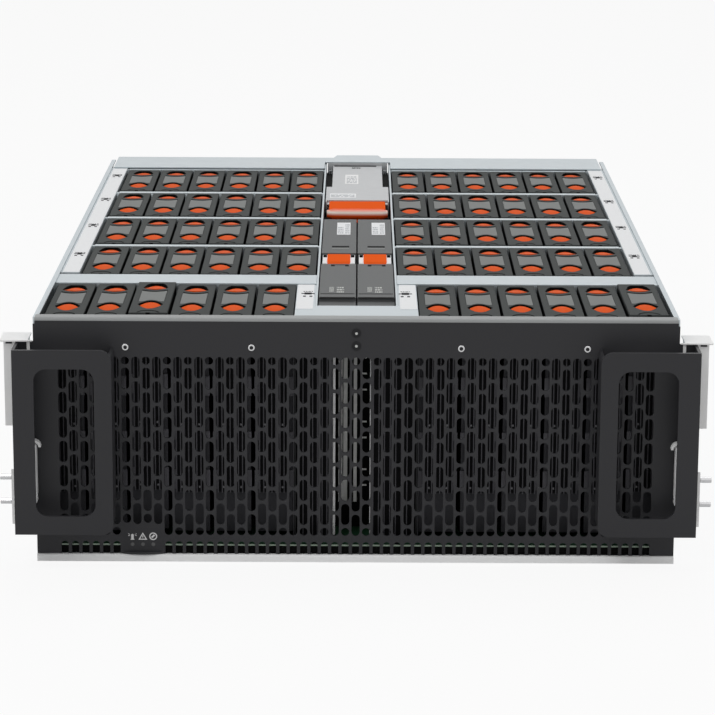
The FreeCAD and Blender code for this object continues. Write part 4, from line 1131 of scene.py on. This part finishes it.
# Across from the mark's middle, then along from its line.
STRIP_ROW = ((-0.0040, 0.0040), (-0.0008, 0.0020))
STRIP_ARROW = (((-0.0042, 0.0042), (-0.0058, -0.0034)), ((-0.0016, 0.0016), (-0.0082, -0.0012)))
STRIP_DOTS = ((-0.0034, 0.0014), (-0.0130, -0.0098))
PLATE_ROW = ((-0.0034, 0.0034), (0.0055, 0.0085))
PLATE_ARROW = (((-0.0048, 0.0048), (-0.0020, 0.0006)), ((-0.0026, 0.0026), (-0.0040, 0.0026)))
PLATE_DOTS = ((-0.0034, 0.0012), (-0.0118, -0.0082))
DOT_WIDTH = 0.0020


def strip_mark(stock, x, y, z, row, arrow, dots, seed):
    """One mark: a row of bars, a bar with a broad middle, and two dots."""
    (x0, x1), (y0, y1) = row
    printed(stock, x + x0, x + x1, y + y0, y + y1, z, 1, seed)
    starts, (near, far) = dots
    spans = list(arrow) + [((start, start + DOT_WIDTH), (near, far)) for start in starts]
    for (x0, x1), (y0, y1) in spans:
        stock.block(x + x0, x + x1, y + y0, y + y1, z, z + PRINT)


def strip_marks():
    """Small generic marks on the label strips and on the plates beside the modules."""
    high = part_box("blank_labels")[1]
    ink = Stock()
    reach = high.x - STRIP_INSET
    for row in "bcde":
        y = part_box("drives_%s_left" % row)[0].y + ROW_MARK
        for x in (-reach, reach):
            strip_mark(ink, x, y, high.z, STRIP_ROW, STRIP_ARROW, STRIP_DOTS, 2)
    plate_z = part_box("centre_plate")[1].z + PLATE_MARK_RISE
    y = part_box("drive_a01_carrier")[0].y + ROW_MARK
    for x in (-PLATE_MARK, PLATE_MARK):
        strip_mark(ink, x, y, plate_z, PLATE_ROW, PLATE_ARROW, PLATE_DOTS, 3)
    finished("strip_marks", ink, "print")


# --- front details
ICON_RISE = 0.0059
BEACON_FOOT = (0.0013, -0.0026, -0.0020)
BEACON_BODY = (0.0009, -0.0020, 0.0008)
BEACON_RAYS = (-0.0006, 0.0009)
RAY_REACH = (0.0017, 0.0030)
RAY_SPLAY = 0.4
RAY_TOPS = (0.0011, 0.0012)
TRIANGLE_OUTER = ((-0.0031, -0.0025), (0.0031, -0.0025), (0.0, 0.0028))
TRIANGLE_INNER = ((-0.0019, -0.0018), (0.0019, -0.0018), (0.0, 0.0015))
TRIANGLE_BAR = (0.0003, -0.0010, 0.0006)
RING = (0.0028, 0.0020)
STROKE = ((-0.0015, -0.0005), (0.0005, 0.0015), (0.0014, 0.0006), (-0.0006, -0.0014))


def status_icons():
    """Three plain signs over the indicator lights: a beacon, a triangle and a crossed circle."""
    low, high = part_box("indicator_lights")
    middle = (low.x + high.x) / 2
    z = (low.z + high.z) / 2 + ICON_RISE
    ink = Stock()

    def inked(outline, holes=()):
        ink.plate("y", BEZEL_FACE - PRINT, BEZEL_FACE, outline, holes)

    def bar(x, size):
        half, bottom, top = size
        inked(rectangle(x - half, x + half, z + bottom, z + top))

    def moved(x, points):
        return [(x + u, z + v) for u, v in points]

    x = middle - SLOT_PITCH
    lamp = BEACON_BODY[2]
    bar(x, BEACON_FOOT)
    bar(x, BEACON_BODY)
    inked(circle(x, z + lamp, BEACON_BODY[0], 8, 0.0, math.pi))
    for s in (-1, 1):
        for rise in BEACON_RAYS:
            a, b = (s * reach for reach in RAY_REACH)
            start = rise * RAY_SPLAY
            inner, outer = RAY_TOPS
            ray = [(a, lamp + start), (b, lamp + rise), (b, outer + rise), (a, inner + start)]
            inked(moved(x, ray if s > 0 else ray[::-1]))
    inked(moved(middle, TRIANGLE_OUTER), [moved(middle, TRIANGLE_INNER)])
    bar(middle, TRIANGLE_BAR)
    x = middle + SLOT_PITCH
    outer, inner = RING
    inked(circle(x, z, outer), [circle(x, z, inner)])
    inked(moved(x, STROKE))
    finished("status_icons", ink, "icon")


BOARD_EDGE_DEPTH = 0.0010
BOARD_EDGE = (-0.0002, 0.0009)
BOARD_SHADE_FOOT = 0.0055
BOARD_SHADE_GAP = 0.0004


def front_trim():
    """The near-white lip strip under the bezel as painted highlight, the board edge seen through the comb
    with a black block below it as painted shade, and the fasteners' centres.
    """
    low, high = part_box("chassis_tray")
    y = low.y - LIP_STAND_OFF
    radius = LIP_RADIUS
    profile = [(y + LIP_DEPTH, 0.0), (y + LIP_DEPTH, LIP_TOP), (y + radius, LIP_TOP)]
    profile += circle(y + radius, LIP_TOP - radius, radius, 4, math.pi / 2, math.pi / 2)[1:]
    profile += [(y, 0.0)]
    lip = Stock().plate("x", -high.x, high.x, profile)
    # Near-white over the zinc lip: painted highlight.
    finished("tray_lip_roll", lip, "lip", smooth=50.0)
    low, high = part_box("baseboards")
    front = low.y - BOARD_EDGE_DEPTH
    bottom, top = BOARD_EDGE
    edge, shade = Stock(), Stock()
    edge.block(low.x, high.x, front, low.y, high.z + bottom, high.z + top)
    shade_top = high.z - BOARD_SHADE_GAP
    shade.block(low.x, high.x, front, low.y - BOARD_SHADE_GAP, BOARD_SHADE_FOOT, shade_top)
    finished("board_front_edge", edge, "board_edge")
    # A black block over the boards' front: painted shade.
    finished("board_front_shade", shade, "pocket")
    low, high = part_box("bezel_rivets")
    z = (low.z + high.z) / 2
    places = [(x, z) for x in (low.x + RIVET, RIVET_INNER, -RIVET_INNER, high.x - RIVET)]
    centre_dots("rivet_centres", "screw", low.y, places, RIVET * RIVET_CENTRE, 12)
    low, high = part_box("bezel_screws")
    places = [(0.0, z) for z in (low.z + SCREW, high.z - SCREW)]
    centre_dots("screw_centres", "mark", low.y, places, SCREW * SCREW_CENTRE, 10)


def centre_dots(name, finish, y, places, radius, facets):
    """Round dots on the heads of fasteners."""
    dots = Stock()
    for x, z in places:
        dots.plate("y", y - PRINT, y, circle(x, z, radius, facets))
    finished(name, dots, finish)


SHADE_PLATE_RIBS = 9
GUIDE_GAP = 0.0004
GUIDE_SLOT_SETBACK = 0.0300
GUIDE_EDGE_FOOT = 0.014
GUIDE_RUNGS = 12
GUIDE_SHEET = 0.0012
GUIDE_RUNG_BACK = 0.0008
GUIDE_LINE = (0.0016, 0.0013)
GUIDE_LINE_HALF = 0.0003
GUIDE_LINE_RISE = 0.020


def front_baffles():
    """Dark plates with lighter ribs either side of the front guide: painted shade over the channel's bright
    front edges, with painted highlight on the ribs.
    """
    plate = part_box("centre_plate")
    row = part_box("drive_a01_carrier")[0].y
    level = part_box("baseboards")[1].z + 0.0010
    top = CAP_TOP - 0.0020
    wide = min(abs(plate[0].x), plate[1].x) + 0.0010
    plates, ribs = Stock(), Stock()
    for x0, x1 in ((-wide, GUIDE_LEFT - GUIDE_GAP), (GUIDE_RIGHT + GUIDE_GAP, wide)):
        plates.block(x0, x1, row, row + LEG_THICKNESS, level, top)
        for n in range(SHADE_PLATE_RIBS):
            x = x0 + (x1 - x0 - RIB_WIDTH) * n / (SHADE_PLATE_RIBS - 1)
            ribs.block(x, x + RIB_WIDTH, row - RIB_DEPTH, row, level, top)
    finished("front_baffles", plates, "leg")
    finished("front_baffle_ribs", ribs, "rib")
    front_guide(row, level, top)


def front_guide(row, level, top):
    """The guide's bright edges as painted highlight, its grey columns and rungs in near-white zinc as painted
    light, and black blocks as painted shade: the dark behind them and a thin line down the light column.
    """
    edges, dark, web = Stock(), Stock(), Stock()
    depth = GUIDE_SHEET / 2
    for x0 in (GUIDE_LEFT, GUIDE_RIGHT - GUIDE_EDGE):
        edges.block(x0, x0 + GUIDE_EDGE, row - depth, row + depth, GUIDE_EDGE_FOOT, top)
    back = row + GUIDE_SLOT_SETBACK
    light, half_tone, gap = GUIDE_COLUMNS
    for x0, x1 in (light, half_tone):
        web.block(x0, x1, back - GUIDE_SHEET, back - depth, GUIDE_FOOT, top)
    for n in range(1, GUIDE_RUNGS):
        z = GUIDE_FOOT + (top - GUIDE_FOOT) * n / GUIDE_RUNGS
        web.block(*gap, back - GUIDE_SHEET, back - GUIDE_RUNG_BACK, z, z + GUIDE_SHEET)
    x = (light[0] + light[1]) / 2
    near, far = (back - setback for setback in GUIDE_LINE)
    dark.block(x - GUIDE_LINE_HALF, x + GUIDE_LINE_HALF, near, far, GUIDE_FOOT + GUIDE_LINE_RISE, top)
    dark.block(GUIDE_LEFT + GUIDE_EDGE, GUIDE_RIGHT - GUIDE_EDGE, back - depth, back, level, top)
    finished("guide_edges", edges, "lip")
    finished("guide_web", web, "guide")
    finished("guide_shade", dark, "pocket")


TAB = (0.2262, 0.2284)
TAB_DROP = 0.0062
TAB_SHEET = 0.0009
HEAD = (0.2386, 0.2430)
HEAD_DROP = 0.0018
HEAD_DEPTHS = (0.0002, 0.0014)


def ear_details():
    """The bent tab of each rack bracket over the ear, and the screw under its top."""
    tabs, heads = Stock(), Stock()
    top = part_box("rack_brackets")[1].z - BRACKET_SHEET
    face = BEZEL_FACE
    for side in (-1, 1):
        x0, x1 = sorted(side * x for x in TAB)
        tabs.block(x0, x1, face - TAB_SHEET, face, top - TAB_DROP, top)
        x0, x1 = sorted(side * x for x in HEAD)
        heads.block(x0, x1, face + HEAD_DEPTHS[0], face + HEAD_DEPTHS[1], top - HEAD_DROP, top)
    # The tabs take the near-white zinc: painted highlight.
    finished("bracket_tabs", tabs, "zinc_bright", easing=0.0003)
    finished("bracket_screws", heads, "screw")


CATCH_STRIP = 0.0016
HOOK_RADIUS = 0.0050
HOOK_SHEET = 0.0017
HOOK_DEPTH = 0.0060
HOOK_LAP = 0.0030


def rack_catch(word):
    """A sprung strip with a curved finger hook at its top."""
    node = "rack_catch_" + word
    low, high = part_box(node)
    side = -1 if word == "left" else 1
    outer = low.x if side < 0 else high.x
    strip = Stock()
    x0, x1 = sorted((outer, outer - side * CATCH_STRIP))
    strip.block(x0, x1, low.y, high.y, low.z, high.z - HOOK_LAP)
    z = high.z - HOOK_RADIUS
    turn = (8, math.pi / 2, side * math.pi / 2)
    arc = circle(outer, z, HOOK_RADIUS, *turn)
    inner = circle(outer, z, HOOK_RADIUS - HOOK_SHEET, *turn)
    strip.plate("y", low.y, low.y + HOOK_DEPTH, arc + inner[::-1])
    # The hook is near-white: painted highlight on the sprung strip.
    finished(node + "_hook", strip, "lip", node, [node], 0.0003)


FLANGE_SEARCH = 0.0022
FLANGE_DRAW = 0.0013
WALL_TOP_ALONG = (0.0005, 0.0068)
WALL_TOP_LEVELS = (CAP_TOP - 0.0004, CAP_TOP + 0.0003)


def cage():
    """The drive cage, with the flange's inner edge drawn back from the drives, and its wall tops."""
    mesh = merged_copy("drive_cage")
    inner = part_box("drives_b_right")[1].x
    for vertex in mesh.vertices:
        if inner < abs(vertex.co.x) < inner + FLANGE_SEARCH:
            vertex.co.x += math.copysign(FLANGE_DRAW, vertex.co.x)
    finished("drive_cage_dressed", mesh, "zinc", "chassis", ["drive_cage"], 0.0003)
    tops = Stock()
    near, far = WALL_TOP_ALONG
    for name in GROUPS:
        low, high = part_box(name)
        tops.block(low.x, high.x, high.y + near, high.y + far, *WALL_TOP_LEVELS)
    finished("row_wall_tops", tops, "zinc", easing=0.0002)


# --- the stage
FLOOR_REACH = 12.0
FLOOR_LEVEL = -0.0005
FLOOR_GLOW = 0.9
SKY = 0.40
# Name, place, aim, size and power.
LIGHTS = (
    ("key", (-1.2, -1.6, 2.6), (0, -0.1, 0.1), 1.8, 20.0),
    ("fill", (1.6, -2.2, 1.6), (0, -0.2, 0.1), 1.6, 7.0),
    ("top", (0.2, 0.8, 2.4), (0, 0.1, 0.1), 1.6, 11.0),
)
CAMERA_LENS = 145.7
CAMERA_SENSOR = 36.0
CAMERA_REACH = 50.0
CAMERA_PLACE = (0.0008, -2.286, 0.6131)
CAMERA_DROP = math.radians(13.41)
CAMERA_ROLL = math.radians(0.27)


def stage():
    """A pale floor, soft light and the camera."""
    link = bpy.context.scene.collection.objects.link
    floor = bpy.data.meshes.new("floor")
    corners = rectangle(-FLOOR_REACH, FLOOR_REACH, -FLOOR_REACH, FLOOR_REACH)
    floor.from_pydata([(x, y, 0) for x, y in corners], [], [(0, 1, 2, 3)])
    ground = bpy.data.objects.new("floor", floor)
    ground.location.z = FLOOR_LEVEL
    link(ground)
    paint = Finish("floor_white", (0.93, 0.93, 0.93), 0.8)
    path = paint.node("ShaderNodeLightPath")
    seen = Wire(paint, path.outputs["Is Camera Ray"]) * FLOOR_GLOW
    glow = paint.node("ShaderNodeEmission", Color=(1, 1, 1, 1), Strength=1.0)
    mix = paint.node("ShaderNodeMixShader", _0=seen, _1=paint.shader.outputs[0], _2=glow.outputs[0])
    paint.tree.links.new(mix.outputs[0], paint.tree.nodes["Material Output"].inputs[0])
    floor.materials.append(paint.material)

    world = bpy.data.worlds.new("studio")
    bpy.context.scene.world = world
    world.use_nodes = True
    sky = Graph(world.node_tree)
    base = sky.tree.nodes["Background"]
    base.inputs["Color"].default_value = (1, 1, 1, 1)
    base.inputs["Strength"].default_value = SKY
    shown = sky.node("ShaderNodeBackground", Color=(1, 1, 1, 1), Strength=1.0)
    path = sky.node("ShaderNodeLightPath")
    rays = [Wire(sky, path.outputs["Is %s Ray" % kind]) for kind in ("Camera", "Glossy", "Transmission")]
    share = rays[0] + rays[1] + rays[2]
    mix = sky.node("ShaderNodeMixShader", _0=share, _1=base.outputs[0], _2=shown.outputs[0])
    sky.tree.links.new(mix.outputs[0], sky.tree.nodes["World Output"].inputs[0])

    for name, place, aim, size, power in LIGHTS:
        light = bpy.data.lights.new(name, "AREA")
        light.shape = "DISK"
        light.size = size
        light.energy = power
        lamp = bpy.data.objects.new(name, light)
        lamp.location = place
        lamp.rotation_euler = (Vector(aim) - Vector(place)).to_track_quat("-Z", "Y").to_euler()
        link(lamp)

    view = bpy.data.cameras.new("view")
    view.lens = CAMERA_LENS
    view.sensor_width = CAMERA_SENSOR
    view.clip_end = CAMERA_REACH
    camera = bpy.data.objects.new("view", view)
    tilt = Matrix.Rotation(math.pi / 2 - CAMERA_DROP, 4, "X")
    roll = Matrix.Rotation(CAMERA_ROLL, 4, "Z")
    camera.matrix_world = Matrix.Translation(CAMERA_PLACE) @ tilt @ roll
    link(camera)
    bpy.context.scene.camera = camera
    bpy.context.scene.view_settings.view_transform = "Standard"


def metalwork():
    """Sheet-metal pieces that keep the CAD shape, with eased corners."""
    for node, finish, easing in (
        ("cross_brace", "zinc", 0.0004),
        # The channel and the centre plate darken below the caps: painted shade.
        ("centre_channel", "zinc_deep", 0.0002),
        ("centre_plate", "zinc_deep", 0.0003),
        ("blank_labels", "label", 0.0),
        # The brackets take the near-white zinc: painted highlight.
        ("rack_brackets", "zinc_bright", 0.0003),
        ("rack_pins", "nickel", 0.0003),
        ("rack_catch_pivots", "nickel", 0.0),
        ("handle_left", "black", 0.0012),
        ("handle_right", "black", 0.0012),
        ("bezel_rivets", "nickel", 0.0003),
        ("bezel_screws", "screw", 0.0003),
        ("indicator_lights", "light_pipe", 0.0002),
        ("baseboards", "board", 0.0),
        ("drive_connectors", "connector", 0.0),
        ("rear_panel", "zinc", 0.0002),
        ("rear_cover", "zinc", 0.0003),
        ("fan_frames", "fan", 0.0004),
        ("io_ports", "port", 0.0003),
    ):
        eased(node, finish, easing)
    for stem, words, finish, easing in (
        ("module_", ("left", "right"), "module", 0.0005),
        ("module_lever_", ("left", "right"), "orange", 0.0006),
        ("io_", ("module",), "psu", 0.0004),
        ("psu_", ("lower", "upper"), "psu", 0.0005),
        ("psu_release_", ("lower", "upper"), "screw", 0.0005),
        ("fan_rotor_", "1234", "fan", 0.0),
    ):
        for word in words:
            eased(stem + word, finish, easing, body=stem + word)


front_bezel()
eased("chassis_tray", "zinc", 0.0003)
front_trim()
front_baffles()
status_icons()
ear_details()
all_drives()
cage()
metalwork()
for side_word in ("left", "right"):
    rack_catch(side_word)
for side_word in ("left", "right"):
    module_dress(side_word)
pull_bar()
io_dress()
strip_marks()
stage()
